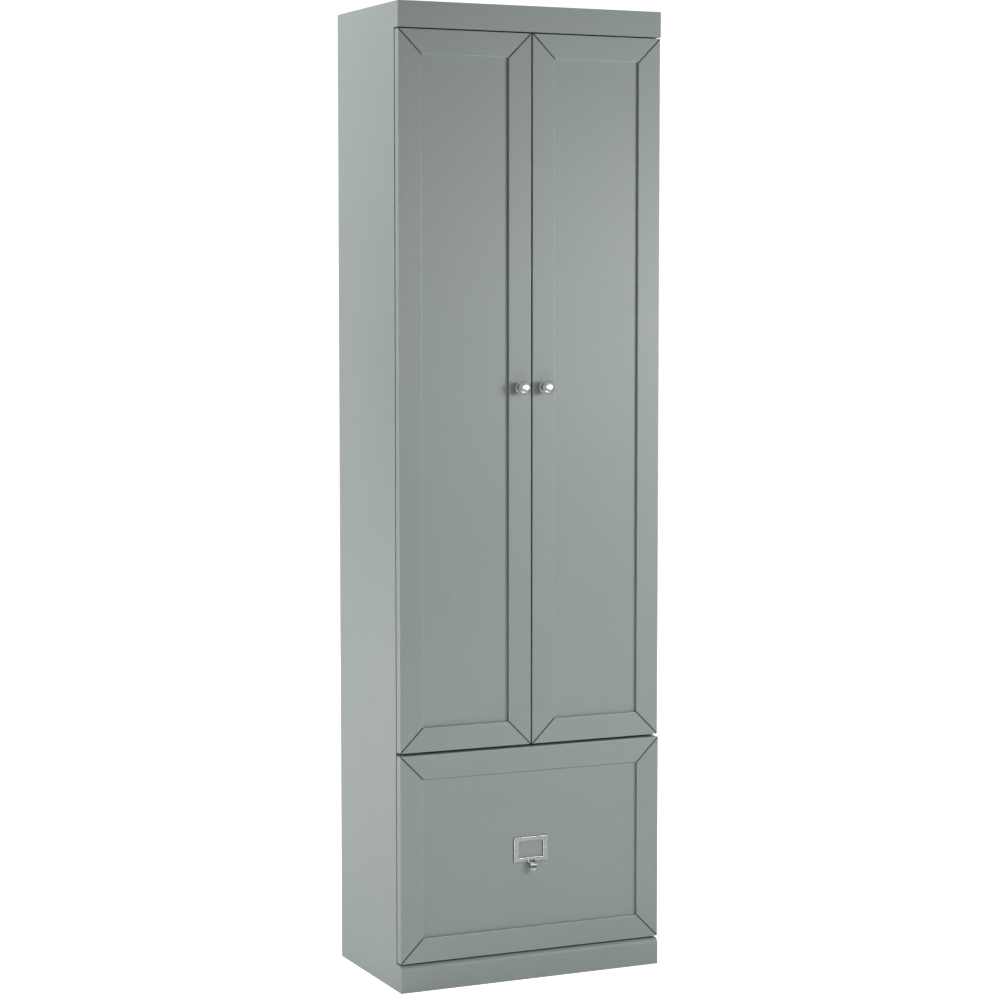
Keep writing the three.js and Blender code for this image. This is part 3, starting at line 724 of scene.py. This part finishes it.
def member(node_name, outer, inner, start, end, grain, face, back, groove):
    """A stile or rail: a stack of trapezium rings from its face to its back.

    outer and inner are its long edges, start and end the frame's corners along it, grain "x" for a rail or
    "z" for a stile, and groove the front, back and floor of the groove for the panel."""
    across = 1 if inner > outer else -1
    width = abs(inner - outer)
    groove_front, groove_back, groove_floor = groove
    levels = [(inset, depth, width - inset) for inset, depth in quarter(EASED)]
    levels += [(0, groove_front - face, width), (0, groove_front - face, groove_floor),
               (0, groove_back - face, groove_floor), (0, groove_back - face, width)]
    levels += [(inset, back - face - depth, width - inset) for inset, depth in reversed(quarter(EASED_BACK))]
    rings = []
    for inset, depth, reach in levels:
        end_gap = sqrt(2) * (MEMBER_GAP + inset)
        corners = [(inset, start + end_gap + inset), (inset, end - end_gap - inset),
                   (reach, end - end_gap - reach), (reach, start + end_gap + reach)]
        ring = []
        for u, length in corners:
            edge = outer + across * u
            y = face + depth
            ring.append(Vector((length, y, edge) if grain == "x" else (edge, y, length)))
        rings.append(ring)
    bm = loft(rings)
    mark = bm.faces.layers.float.new("arris")
    for count, eased_face in enumerate(bm.faces):
        depths = [v.co.y - face for v in eased_face.verts]
        spread = max(depths) - min(depths)
        # The loft's faces go round each ring: long edge, mitre, long edge, mitre. The last two are flat ends.
        on_mitre = count % 2 == 1 and count < len(bm.faces) - 2
        on_arris = 0 < spread < EASED
        # Mitre faces are painted dark as painted shade, their flanks half as dark; eased long edges are
        # painted lighter, partly wear and partly a painted highlight.
        eased_face[mark] = (FLANK if on_arris else PAINTED_GROOVE_SHADE) if on_mitre else (RUBBED_AND_HIGHLIT if on_arris else 0.0)
    return store(f"{node_name}_fine", bm, PAINT[grain])


def framed_front(prefix, left_stile, right_stile):
    """The four members round the panel of a door or of the drawer front, by name."""
    left, right = f"{prefix}_{left_stile}", f"{prefix}_{right_stile}"
    top, bottom = f"{prefix}_top_rail", f"{prefix}_bottom_rail"
    low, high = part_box(left)
    panel_low, panel_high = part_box(f"{prefix}_panel")
    width = high.x - low.x
    groove = (panel_low.y - PANEL_SLACK, panel_high.y + PANEL_SLACK, width - TONGUE)
    x0, x1, z0, z1 = low.x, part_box(right)[1].x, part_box(bottom)[0].z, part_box(top)[1].z
    edges = {left: (x0, x0 + width, z0, z1, "z"), right: (x1, x1 - width, z0, z1, "z"),
             top: (z1, z1 - width, x0, x1, "x"), bottom: (z0, z0 + width, x0, x1, "x")}
    return {name: member(name, *lines, low.y, high.y, groove) for name, lines in edges.items()}


def door(side):
    """A framed door, with pockets for the hinge cups bored in its outer stile."""
    stiles = ("outer_stile", "inner_stile") if side == "left" else ("inner_stile", "outer_stile")
    prefix = f"{side}_door"
    members = framed_front(prefix, *stiles)
    pockets = []
    for height in HINGE_HEIGHTS:
        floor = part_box(f"{side}_{height}_hinge_cup")[0].y - POCKET_SLACK
        x, z = cup_centre(side, height)
        pockets.append(drill(CUP_RADIUS + POCKET_SLACK, POCKET_CUT, (x, floor, z), BACKWARD, 64))
    boolean(members[f"{prefix}_outer_stile"], gather(pockets))
    for name, obj in members.items():
        stand_in(name, obj)
    board(f"{prefix}_panel", PAINT["z"], 0.5 * MM, 2)


def cup_centre(side, height):
    """X and Z of the middle of a hinge cup."""
    low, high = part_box(f"{side}_{height}_hinge_cup")
    return outer_face(side) + INWARD[side] * CUP_CENTRE, (low.z + high.z) / 2


for side in SIDES:
    door(side)

for name, obj in framed_front("drawer_front", "left_stile", "right_stile").items():
    stand_in(name, obj)
board("drawer_front_panel", PAINT["x"], 0.5 * MM, 2)


# ---- knobs


def knob(side):
    """A mushroom knob turned from the solid: collar, waisted neck and low dome with a soft rim."""
    low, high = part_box(f"{side}_knob")
    centre = ((low.x + high.x) / 2, high.y, (low.z + high.z) / 2)
    reach = high.y - low.y
    head = (high.x - low.x) / 2
    # In shares of the head's radius and of the knob's reach.
    collar = [(0, 0), (0.77, 0), (0.785, 0.008), (0.785, 0.044), (0.76, 0.058)]
    body = [(0.62, 0.10), (0.44, 0.19), (0.37, 0.34), (0.44, 0.50), (0.68, 0.625), (0.93, 0.70),
            (1, 0.772), (0.945, 0.848), (0.76, 0.925), (0.46, 0.98), (0.2, 0.996)]
    collar, body = ([(a * head, b * reach) for a, b in line] for line in (collar, body))
    turned = lathe([*collar, *curve_through(body, 6), (0, reach)], centre, FORWARD, 72)
    painted_shade = turned.faces.layers.float.new("painted_shade")
    shade_strength = 0.75
    # The waisted neck is painted dark as painted shade.
    neck_start, neck_end, neck_radius = 0.1 * reach, 0.6 * reach, 0.62 * head
    for face in turned.faces:
        middle = face.calc_center_median()
        out = hypot(middle.x - centre[0], middle.z - centre[2])
        on_neck = neck_start < centre[1] - middle.y < neck_end and out < neck_radius
        face[painted_shade] = shade_strength if on_neck else 0.0
    obj = store(f"{side}_knob_fine", turned, NICKEL)
    stand_in(f"{side}_knob", obj, 40)
    stile_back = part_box(f"{side}_door_inner_stile")[1].y
    spot = (centre[0], stile_back + SEAT, centre[2])
    screws(f"{side}_knob_screw", PAN_SCREW, [spot], BACKWARD, f"{side}_door", 1.3)


for side in SIDES:
    knob(side)


# ---- label holder with pull


def label_frame(centre, outside, window, back, front):
    """A stamped frame: rounded rims outside and round the window, with a shallow valley between them.

    outside and window are half the frame's width and height, and half the window's."""
    rim = 1.1 * MM
    valley = 0.8 * MM
    flat = 0.5 * MM
    outer_corner, window_corner = 2.2 * MM, 0.9 * MM
    corner_change = 0.4  # of a corner's radius, as a share of the inset
    wall_shade, valley_shade = 1.0, 0.2
    section = [(0, back), *[(inset, front + depth) for inset, depth in reversed(quarter(rim, 3))],
               (rim + flat, front), (rim + flat + valley, front + valley)]
    rings = []
    for way, line, (half_x, half_z), corner in ((-1, section, outside, outer_corner),
                                                (1, section[::-1], window, window_corner)):
        for inset, y in line:
            step = way * inset
            points = rounded(half_x + step, half_z + step, corner + corner_change * step, 4, centre)
            rings.append(ring(points, "y", y))
    bm = loft(rings, closed=True)
    # The frame's walls are painted dark and its valley slightly darker, as painted shade and dark
    # reflections.
    painted_shade = bm.faces.layers.float.new("painted_shade")
    bm.normal_update()
    for face in bm.faces:
        in_valley = face.calc_center_median().y > front + 0.9 * valley
        on_wall = abs(face.normal.y) < 0.3
        face[painted_shade] = wall_shade if on_wall else valley_shade if in_valley else 0.0
    return bm


def pull_tongue(centre_x, path, half_width, taper):
    """A tongue along a path of (y, z) points: dished on top, with a raised lip at the nose and a curled tip.

    half_width is that of the root, and taper the share of it that is lost with each metre from there."""
    columns = 12
    thickness = 1.7 * MM
    dish = 2.1 * MM
    bow = 0.35 * MM  # past the nose
    roundness = 0.7  # of the dish from side to side: less is flatter
    line = curve_through(path, 4)
    last = len(line) - 1
    tip_widths = {last - 1: 0.88, last: 0.62}
    nose = min(range(len(line)), key=lambda i: line[i][0])
    sheets = {1: [], -1: []}
    for i, (y, z) in enumerate(line):
        before, after = line[max(i - 1, 0)], line[min(i + 1, last)]
        slope = Vector((0, after[0] - before[0], after[1] - before[1])).normalized()
        inwards = Vector((0, -slope.z, slope.y))
        run = (line[0][0] - y) + (line[0][1] - z)
        width = half_width * (1 - taper * run) * tip_widths.get(i, 1.0)
        depth = dish * sin(pi * min(1.0, i / (nose - 1))) if i < nose else bow
        for face, sheet in sheets.items():
            row = []
            for j in range(columns + 1):
                v = 2 * j / columns - 1
                sink = depth * (1 - v * v) ** roundness + face * thickness / 2
                row.append(Vector((centre_x + v * width, y, z)) + inwards * sink)
            sheet.append(row)
    bm = loft([front + back[::-1] for front, back in zip(sheets[1], sheets[-1])])
    painted_shade = bm.faces.layers.float.new("painted_shade")
    shade_strength = 0.8
    dish_front = line[nose][0] + 3 * MM
    dish_floor = line[nose][1]
    # Painted dark reflections down both sides of the dish, and painted shade under the lip, by their distance
    # along the line.
    band_inside, band_outside = 0.16, 0.62
    lip_band = (line[nose + 3][1], line[nose + 8][1])
    for face in bm.faces:
        middle = face.calc_center_median()
        across = abs(middle.x - centre_x) / half_width
        in_dish = middle.y > dish_front and middle.z > dish_floor and band_inside < across < band_outside
        under_lip = lip_band[0] > middle.z > lip_band[1]
        face[painted_shade] = shade_strength if in_dish or under_lip else 0.0
    return bm


def label_holder():
    """The stamped frame and its tongue in one piece, and the two screws."""
    low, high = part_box("label_holder_pull")
    half_width = (high.x - low.x) / 2
    half_height = 26.5 * MM
    window = (27.25 * MM, 16.75 * MM)
    depth = 2.8 * MM
    screw_sink = 0.75 * MM
    centre = ((low.x + high.x) / 2, high.z - half_height)
    lower_edge = centre[1] - half_height
    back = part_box("drawer_front_panel")[0].y - SEAT
    front = back - depth
    stamped = label_frame(centre, (half_width, half_height), window, back, front)
    obj = store("label_holder_pull_fine", stamped, NICKEL)
    # The tongue's middle line, in millimetres above the holder's lower edge. Its root is measured from the
    # frame's face, and the rest from the nose.
    root_behind, root_above = 0.9, 3.6
    bends = [(8.2, 1.2), (3.6, -0.2), (1.0, -3.6), (2.6, -7.6), (4.4, -10.8), (4.1, -14.0), (3.8, -17.0)]
    path = [(front + root_behind * MM, lower_edge + root_above * MM)]
    path += [(low.y + behind * MM, lower_edge + above * MM) for behind, above in bends]
    tongue = store("tongue", pull_tongue(centre[0], path, 9.8 * MM, 12.5), NICKEL)
    rounding = tongue.modifiers.new("round", "SUBSURF")
    rounding.levels = rounding.render_levels = 2
    bake(tongue)
    boolean(obj, release(tongue), "UNION")
    stand_in("label_holder_pull", obj, 40)
    spots = [(centre[0] + side * (half_width + window[0]) / 2, front + screw_sink, centre[1])
             for side in (-1, 1)]
    screws("label_holder_screws", PAN_SCREW, spots, FORWARD, "drawer", 0.72)


label_holder()


# ---- concealed hinges


def hinge_cup(side, height):
    """A pressed steel cup with a rolled rim, on a flange with two screws."""
    name = f"{side}_{height}_hinge_cup"
    low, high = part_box(name)
    x, z = cup_centre(side, height)
    inward = INWARD[side]
    door_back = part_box(f"{side}_door_outer_stile")[1].y
    depth = high.y - low.y
    corner = 2 * MM
    bend = arc((0, corner), corner, -90, 0, 5)
    outside = [(CUP_RADIUS - corner + dx, dy) for dx, dy in bend]
    inside = [(CUP_RADIUS - SHEET - corner + dx, SHEET + dy) for dx, dy in reversed(bend)]
    # The rolled rim, in millimetres outside the cup's radius and below its mouth.
    roll = [(0, 1.2), (1.1, 1.0), (1.2, 0.6), (0.7, 0), (-0.4, 0), (-1.2, 0.7)]
    rim = [(CUP_RADIUS + out * MM, depth - below * MM) for out, below in roll]
    profile = [(0, 0), *outside, *rim, *inside, (0, SHEET)]
    cup = store(f"{name}_fine", lathe(profile, (x, low.y, z), BACKWARD, 64), ZINC)
    half_width, shift, ear = 11 * MM, 6 * MM, 5 * MM
    outline = rounded(half_width, (high.z - low.z) / 2, ear, 6, (x + inward * shift, z))
    plate = extrude(outline, "y", door_back + SEAT, high.y - 0.15 * MM, FINE_EDGE, 2)
    flange = store("flange", plate, ZINC)
    boolean(flange, drill(CUP_RADIUS - SHEET, 4 * MM, (x, door_back - PAST, z), BACKWARD, 64))
    boolean(cup, release(flange), "UNION")
    stand_in(name, cup)
    screw_shift, screw_reach = 9.5 * MM, 24 * MM
    spots = [(x + inward * screw_shift, high.y - 0.1 * MM, z + step * screw_reach) for step in (-1, 1)]
    screws(f"{name}_screws", FLAT_SCREW, spots, BACKWARD, f"{side}_door", 0.9)


def soften(node_name, width):
    """Keeps a CAD node's own shape and rounds its edges with modifiers."""
    obj = frame["nodes"][node_name]
    weld = obj.modifiers.new("weld", "WELD")
    weld.merge_threshold = 0.002 * MM
    rounding = obj.modifiers.new("round", "BEVEL")
    rounding.width = width
    rounding.segments = 2
    rounding.limit_method = "ANGLE"
    rounding.angle_limit = radians(35)
    normals = obj.modifiers.new("flat faces", "WEIGHTED_NORMAL")
    normals.keep_sharp = True
    obj.data.materials.clear()
    obj.data.materials.append(ZINC)


def hinge_arm(side, height):
    """The CAD arm and plate, with the screws that hold and set them."""
    name = f"{side}_{height}_hinge_arm"
    soften(name, 0.3 * MM)
    low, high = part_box(name)
    z = (low.z + high.z) / 2
    inward = INWARD[side]
    plate_face = inner_face(side) + inward * 2.2 * MM
    plate_screws_back, plate_screws_apart = 37 * MM, 16 * MM
    spots = [(plate_face, CASE_FRONT + plate_screws_back, z + step * plate_screws_apart) for step in (-1, 1)]
    screws(f"{name}_plate_screws", PAN_SCREW, spots, (inward, 0, 0), "cabinet", 0.95)
    web_face = outer_face(side) + inward * 28.0 * MM
    spots = [(web_face, CASE_FRONT + back, z) for back in (26 * MM, 47 * MM)]
    screws(f"{name}_setting_screws", PAN_SCREW, spots, (inward, 0, 0), "cabinet", 0.95)


for side in SIDES:
    for height in HINGE_HEIGHTS:
        hinge_cup(side, height)
        hinge_arm(side, height)
        soften(f"{side}_{height}_hinge_link", 0.25 * MM)


# ---- drawer slides


def channel_section(web, tip, half_height, centre_z):
    """A C-section of sheet steel with round bends, as (x, z) points; it opens from web towards tip."""
    way = 1 if tip > web else -1
    bend = 1.6 * SHEET

    def half(edge, radius):
        turn = arc((0, half_height - bend), radius, 90, 0, 4)
        return [(tip, edge), *[(web + way * (bend - a), b) for a, b in turn]]

    outside, inside = half(half_height, bend), half(half_height - SHEET, bend - SHEET)
    outside += [(x, -z) for x, z in reversed(outside)]
    inside += [(x, -z) for x, z in reversed(inside)]
    return [(x, centre_z + z) for x, z in [*outside, *reversed(inside)]]


SLOT_SHARES = (0.12, 0.36, 0.64, 0.88)  # places of the slots, as shares of a slide's length
SCREW_SHARES = (0.12, 0.64, 0.88)  # those that have a screw


def slide_member(side, member_name):
    """One member of a slide, with slots, and with screws where it is fixed."""
    name = f"{side}_slide_{member_name}_member"
    low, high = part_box(name)
    centre_z = (low.z + high.z) / 2
    opens_inward = member_name != "drawer"
    web, tip = (low.x, high.x) if opens_inward == (side == "left") else (high.x, low.x)
    way = 1 if tip > web else -1
    section = channel_section(web, tip, (high.z - low.z) / 2, centre_z)
    obj = store(f"{name}_fine", extrude(section, "y", low.y, high.y), ZINC)
    half_length, half_height = (9 * MM, 3 * MM) if member_name == "middle" else (5 * MM, 2.2 * MM)
    ends = sorted((web - way * PAST, web + way * (SHEET + PAST)))
    slots = []
    for share in SLOT_SHARES:
        middle = (low.y + share * (high.y - low.y), centre_z)
        slots.append(extrude(rounded(half_length, half_height, half_height - SEAT, 5, middle), "x", *ends))
    boolean(obj, gather(slots))
    stand_in(name, obj, 50)
    if member_name != "middle":
        spots = [(web + way * SHEET, low.y + share * (high.y - low.y), centre_z) for share in SCREW_SHARES]
        screws(f"{name}_screws", PAN_SCREW, spots, (way, 0, 0), member_name, 0.75)


def ball_cage(side, outer_member, inner_member, body):
    """Two rows of balls in a pressed strip, between two members of a slide."""
    outer_low, outer_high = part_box(f"{side}_slide_{outer_member}_member")
    gap_high = outer_high.z - SHEET
    gap_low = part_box(f"{side}_slide_{inner_member}_member")[1].z
    ball = (gap_high - gap_low) / 2 - SEAT
    centre_z = (outer_low.z + outer_high.z) / 2
    inward = INWARD[side]
    start = outer_low.x if side == "left" else outer_high.x
    track = (6.2 if outer_member == "cabinet" else 5.2) * MM  # from the outer member's web to the balls
    x = start + inward * track
    front = outer_low.y + 12 * MM
    count, pitch = 8, 11 * MM
    turns = [radians(a) for a in range(-90, 91, 18)]
    profile = [(0.0 if abs(a) == turns[-1] else ball * cos(a), ball * sin(a)) for a in turns]
    strip_half, strip_reach = 0.35 * MM, 0.75 * ball
    parts = []
    for sign in (-1, 1):
        z = centre_z + sign * (gap_high + gap_low - 2 * centre_z) / 2
        parts += [lathe(profile, (x, front + (i + 0.5) * pitch, z), UP, 16) for i in range(count)]
        parts.append(block((x - strip_half, front, z - strip_reach),
                           (x + strip_half, front + count * pitch, z + strip_reach), 0.15 * MM, 1))
    piece(f"{side}_slide_{outer_member}_balls", gather(parts), body, crease=60)


for side in SIDES:
    for member_name in ("cabinet", "middle", "drawer"):
        slide_member(side, member_name)
    ball_cage(side, "cabinet", "middle", "cabinet")
    ball_cage(side, "middle", "drawer", f"{side}_slide_middle")


# ---- drawer box


def drawer_box():
    """The box behind the drawer front: grooved sides and front, a back and a bottom, with their screws."""
    bottom_low, bottom_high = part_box("drawer_box_bottom")
    groove_low, groove_high = bottom_low.z - PANEL_SLACK, bottom_high.z + PANEL_SLACK
    for side in SIDES:
        name = f"drawer_box_{side}_side"
        low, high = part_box(name)
        obj = store(f"{name}_fine", block(low, high, MM, 3), WOOD["y"])
        inward = INWARD[side]
        inner, outer = (high.x, low.x) if side == "left" else (low.x, high.x)
        boolean(obj, block((inner - inward * GROOVE_DEPTH, low.y - PAST, groove_low),
                           (inner + inward * PAST, high.y + PAST, groove_high), 0.1 * MM, 1))
        stand_in(name, obj)
        rows = [low.z + share * (high.z - low.z) for share in (0.12, 0.5, 0.88)]
        spots = [(outer, y, z) for y in (low.y + 6 * MM, high.y - 6 * MM) for z in rows]
        screws(f"{name}_screws", FLAT_SCREW, spots, (-inward, 0, 0), "drawer", 0.9)
    low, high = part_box("drawer_box_front")
    obj = store("drawer_box_front_fine", block(low, high, MM, 3), WOOD["x"])
    boolean(obj, block((low.x - PAST, high.y - GROOVE_DEPTH, groove_low),
                       (high.x + PAST, high.y + PAST, groove_high), 0.1 * MM, 1))
    stand_in("drawer_box_front", obj)
    inset, inset_above = 60 * MM, 50 * MM  # of the screws from the edges
    spots = [(x, high.y, z) for x in (low.x + inset, high.x - inset)
             for z in (low.z + inset, high.z - inset_above)]
    screws("drawer_front_screws", PAN_SCREW, spots, BACKWARD, "drawer", 1.15)
    board("drawer_box_back", WOOD["x"], MM)
    board("drawer_box_bottom", WOOD["x"], 0.4 * MM, 2)


drawer_box()


# ---- shelf pins, cams, bumpers and the back


def shelf_pins():
    """Steel pins with a collar against the side; each shelf lies on four."""
    r = PIN_RADIUS - 0.08 * MM
    profile = [(0, -8 * MM), (r, -7.6 * MM), (r, 0.05 * MM), (1.45 * r, 0.1 * MM), (1.45 * r, 0.75 * MM),
               (r, 0.8 * MM), (r, 7.2 * MM), (0.8 * r, 7.9 * MM), (0, 8 * MM)]
    below = 0.02 * MM
    for shelf in PINNED_SHELVES:
        parts = [lathe(profile, (inner_face(side), y, z - below), (INWARD[side], 0, 0), 24)
                 for side in SIDES for y, z in shelf_pin_spots(shelf)]
        piece(f"{shelf}_pins", gather(parts), "cabinet")


def cam_locks():
    """The cams under the fixed boards that draw them to the sides: round discs, flush, with a cross."""
    profile = [(0, -9 * MM), (7.3 * MM, -9 * MM), (7.4 * MM, 0.1 * MM), (7.0 * MM, 0.35 * MM), (0, 0.35 * MM)]
    template = screw_template("cam", profile, (3.4 * MM, 2.2 * MM), 0.35 * MM)
    from_end, from_edge = 34 * MM, 60 * MM
    for name in ("top_panel", "centre_shelf", "middle_panel", "bottom_panel"):
        low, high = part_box(name)
        spots = [(x, y, low.z) for x in (low.x + from_end, high.x - from_end)
                 for y in (low.y + from_edge, high.y - from_edge)]
        screws(f"{name}_cams", template, spots, -UP, "cabinet")


def bumper(spots, radius, height, name, body):
    """Clear domed buffers stuck to the back of a door or of the drawer front."""
    profile = [(0, 0), (radius, 0), *dome(radius, height, 0.4), (0, height)]
    parts = [lathe(profile, spot, BACKWARD, 24) for spot in spots]
    piece(name, gather(parts), body, CLEAR, 50)


def bumpers():
    for side in SIDES:
        low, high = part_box(f"{side}_door_bottom_rail")
        from_end, above_edge = 40 * MM, 3.2 * MM
        spots = [(x, high.y, low.z + above_edge) for x in (low.x + from_end, high.x - from_end)]
        bumper(spots, 2.6 * MM, 1.6 * MM, f"{side}_door_bumpers", f"{side}_door")
    low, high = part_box("drawer_front_left_stile")
    edge = BOARD / 2
    xs = (CAD_LOW.x + edge, CAD_HIGH.x - edge)
    from_end, clearance = 22 * MM, 0.3 * MM
    spots = [(x, high.y, z) for x in xs for z in (low.z + from_end, high.z - from_end)]
    bumper(spots, 4.5 * MM, CASE_FRONT - high.y - clearance, "drawer_front_bumpers", "drawer")


def back_fixings():
    """Brads through the back panels, and the strip that covers the joint between them."""
    upper_low, upper_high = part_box("upper_back_panel")
    rear = upper_high.y
    joint = (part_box("lower_back_panel")[1].z + upper_low.z) / 2
    strip_half, strip_inset, strip_gauge = 11 * MM, 8 * MM, 1.6 * MM
    strip_low = (upper_low.x + strip_inset, rear, joint - strip_half)
    strip_high = (upper_high.x - strip_inset, rear + strip_gauge, joint + strip_half)
    strip = block(strip_low, strip_high, 0.5 * MM, 2)
    piece("back_joint_strip", strip, "cabinet", PAINT["x"])
    head = [(0, -2 * MM), (0.7 * MM, -2 * MM), (0.7 * MM, 0), (1.5 * MM, 0), (1.4 * MM, 0.3 * MM),
            (0, 0.42 * MM)]
    rows = []
    for name in ("centre_shelf", "bottom_panel", "top_panel"):
        low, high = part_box(name)
        rows.append((low.x, high.x, rear, (low.z + high.z) / 2))
    rows.append((strip_low[0], strip_high[0], strip_high[1], joint - 0.5 * MM))
    count = 7
    parts = []
    for start, end, y, z in rows:
        for i in range(count):
            x = start + (i + 0.5) / count * (end - start)
            parts.append(lathe(head, (x, y, z), BACKWARD, 16))
    piece("back_brads", gather(parts), "cabinet")


def wall_bracket():
    """A bent steel strap on the top board; its leg hangs behind the back, with a hole for a wall screw."""
    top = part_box("top_panel")[1]
    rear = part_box("upper_back_panel")[1].y + 0.4 * MM
    gauge = 1.5 * MM
    bend = 2 * MM
    half_width = 10 * MM
    start, foot, hole = top.y - 32 * MM, top.z - 34 * MM, top.z - 24 * MM
    outer = arc((rear + gauge - bend, top.z + gauge - bend), bend, 90, 0, 4)
    section = [(start, top.z + SEAT), (rear, top.z + SEAT), (rear, foot), (rear + gauge, foot),
               *reversed(outer), (start, top.z + gauge)]
    obj = store("wall_bracket", extrude(section, "x", -half_width, half_width, 0.3 * MM, 2), ZINC)
    boolean(obj, drill(2.6 * MM, 6 * MM, (0, rear - 2 * MM, hole), BACKWARD))
    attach(dress(obj), "cabinet")
    spots = [(0, top.y - step, top.z + gauge) for step in (9 * MM, 24 * MM)]
    screws("wall_bracket_screws", FLAT_SCREW, spots, UP, "cabinet", 0.8)


shelf_pins()
cam_locks()
bumpers()
back_fixings()
wall_bracket()


# ---- studio


SEEN_WHITE = 1.1  # strength at which the floor and the surround look white


def for_rays(tree, diffuse, glossy, camera):
    """A strength for light that falls on surfaces, one for reflections and one for the camera."""
    path = node(tree, "ShaderNodeLightPath").outputs
    lit = fit(tree, path["Is Diffuse Ray"], 0.0, 1.0, glossy, diffuse)
    return maths(tree, "MAXIMUM", lit, maths(tree, "MULTIPLY", path["Is Camera Ray"], camera))


def floor():
    """A pale floor that fades into the white of the studio."""
    radius = 9.0
    bm = bmesh.new()
    bmesh.ops.create_circle(bm, cap_ends=True, segments=96, radius=radius)
    bmesh.ops.translate(bm, verts=bm.verts, vec=(0, 0, CAD_LOW.z - 0.2 * MM))
    sockets = {"Base Color": (0.8, 0.8, 0.8, 1), "Roughness": 0.9, "Emission Color": (1, 1, 1, 1)}
    made, tree, shader = principled("floor", sockets)
    wire(tree, shader, Emission_Strength=for_rays(tree, 0.1, 0.12, SEEN_WHITE))
    reach = node(tree, "ShaderNodeVectorMath", {0: rest_place(tree)}, operation="LENGTH").outputs["Value"]
    fade = fit(tree, reach, 0.25 * radius, 0.85 * radius, 1.0, 0.0)
    clear = node(tree, "ShaderNodeBsdfTransparent").outputs[0]
    both = node(tree, "ShaderNodeMixShader", {0: fade, 1: clear, 2: shader.outputs[0]})
    tree.links.new(both.outputs[0], tree.nodes["Material Output"].inputs["Surface"])
    obj = store("floor", bm, made)


def softbox(name, location, target, size, energy, tint=(1, 1, 1)):
    light = bpy.data.lights.new(name, "AREA")
    light.shape = "RECTANGLE"
    light.size, light.size_y = size
    light.energy = energy
    light.color = tint
    obj = link(name, light)
    obj.location = location
    obj.rotation_euler = (Vector(target) - Vector(location)).to_track_quat("-Z", "Y").to_euler()
    obj.visible_camera = False


def world():
    """White for the camera, and a dim grey surround as light."""
    made = bpy.data.worlds.new("studio")
    made.use_nodes = True
    tree = made.node_tree
    back = tree.nodes["Background"]
    back.inputs["Color"].default_value = (1, 1, 1, 1)
    tree.links.new(for_rays(tree, 0.06, 0.5, SEEN_WHITE), back.inputs["Strength"])
    bpy.context.scene.world = made


def camera():
    data = bpy.data.cameras.new("camera")
    data.sensor_width = 36
    data.lens = 95.37
    data.shift_y = -0.02
    obj = link("camera", data)
    obj.location = (-2.310, -5.071, 1.452)
    obj.rotation_euler = (radians(90 - 4.313), 0, radians(-24.465))
    bpy.context.scene.camera = obj


floor()
world()
softbox("key", (1.3, -1.8, 1.41), (0, 0, 1.2), (0.6, 0.6), 18.5)
softbox("fill_low", (0.6, -2.6, 1.5), (0.1, 0, 0.4), (1.2, 0.6), 10.5)
softbox("fill_floor", (-0.15, -1.55, 0.1), (-0.05, 0, 0.3), (1.0, 0.25), 2.6)
softbox("side_high", (-2.6, 1.35, 3.0), (-0.3, 0, 1.4), (2.0, 1.0), 78, (1, 0.985, 0.98))
softbox("side_low", (-2.2, 1.3, 0.3), (-0.3, 0, 0.6), (2.0, 0.5), 16)
softbox("rear", (1.0, 4.6, 2.6), (0, 0, 1.0), (2.6, 2.0), 95)
camera()
bpy.context.scene.view_settings.view_transform = "Standard"
bpy.context.scene.view_settings.look = "None"
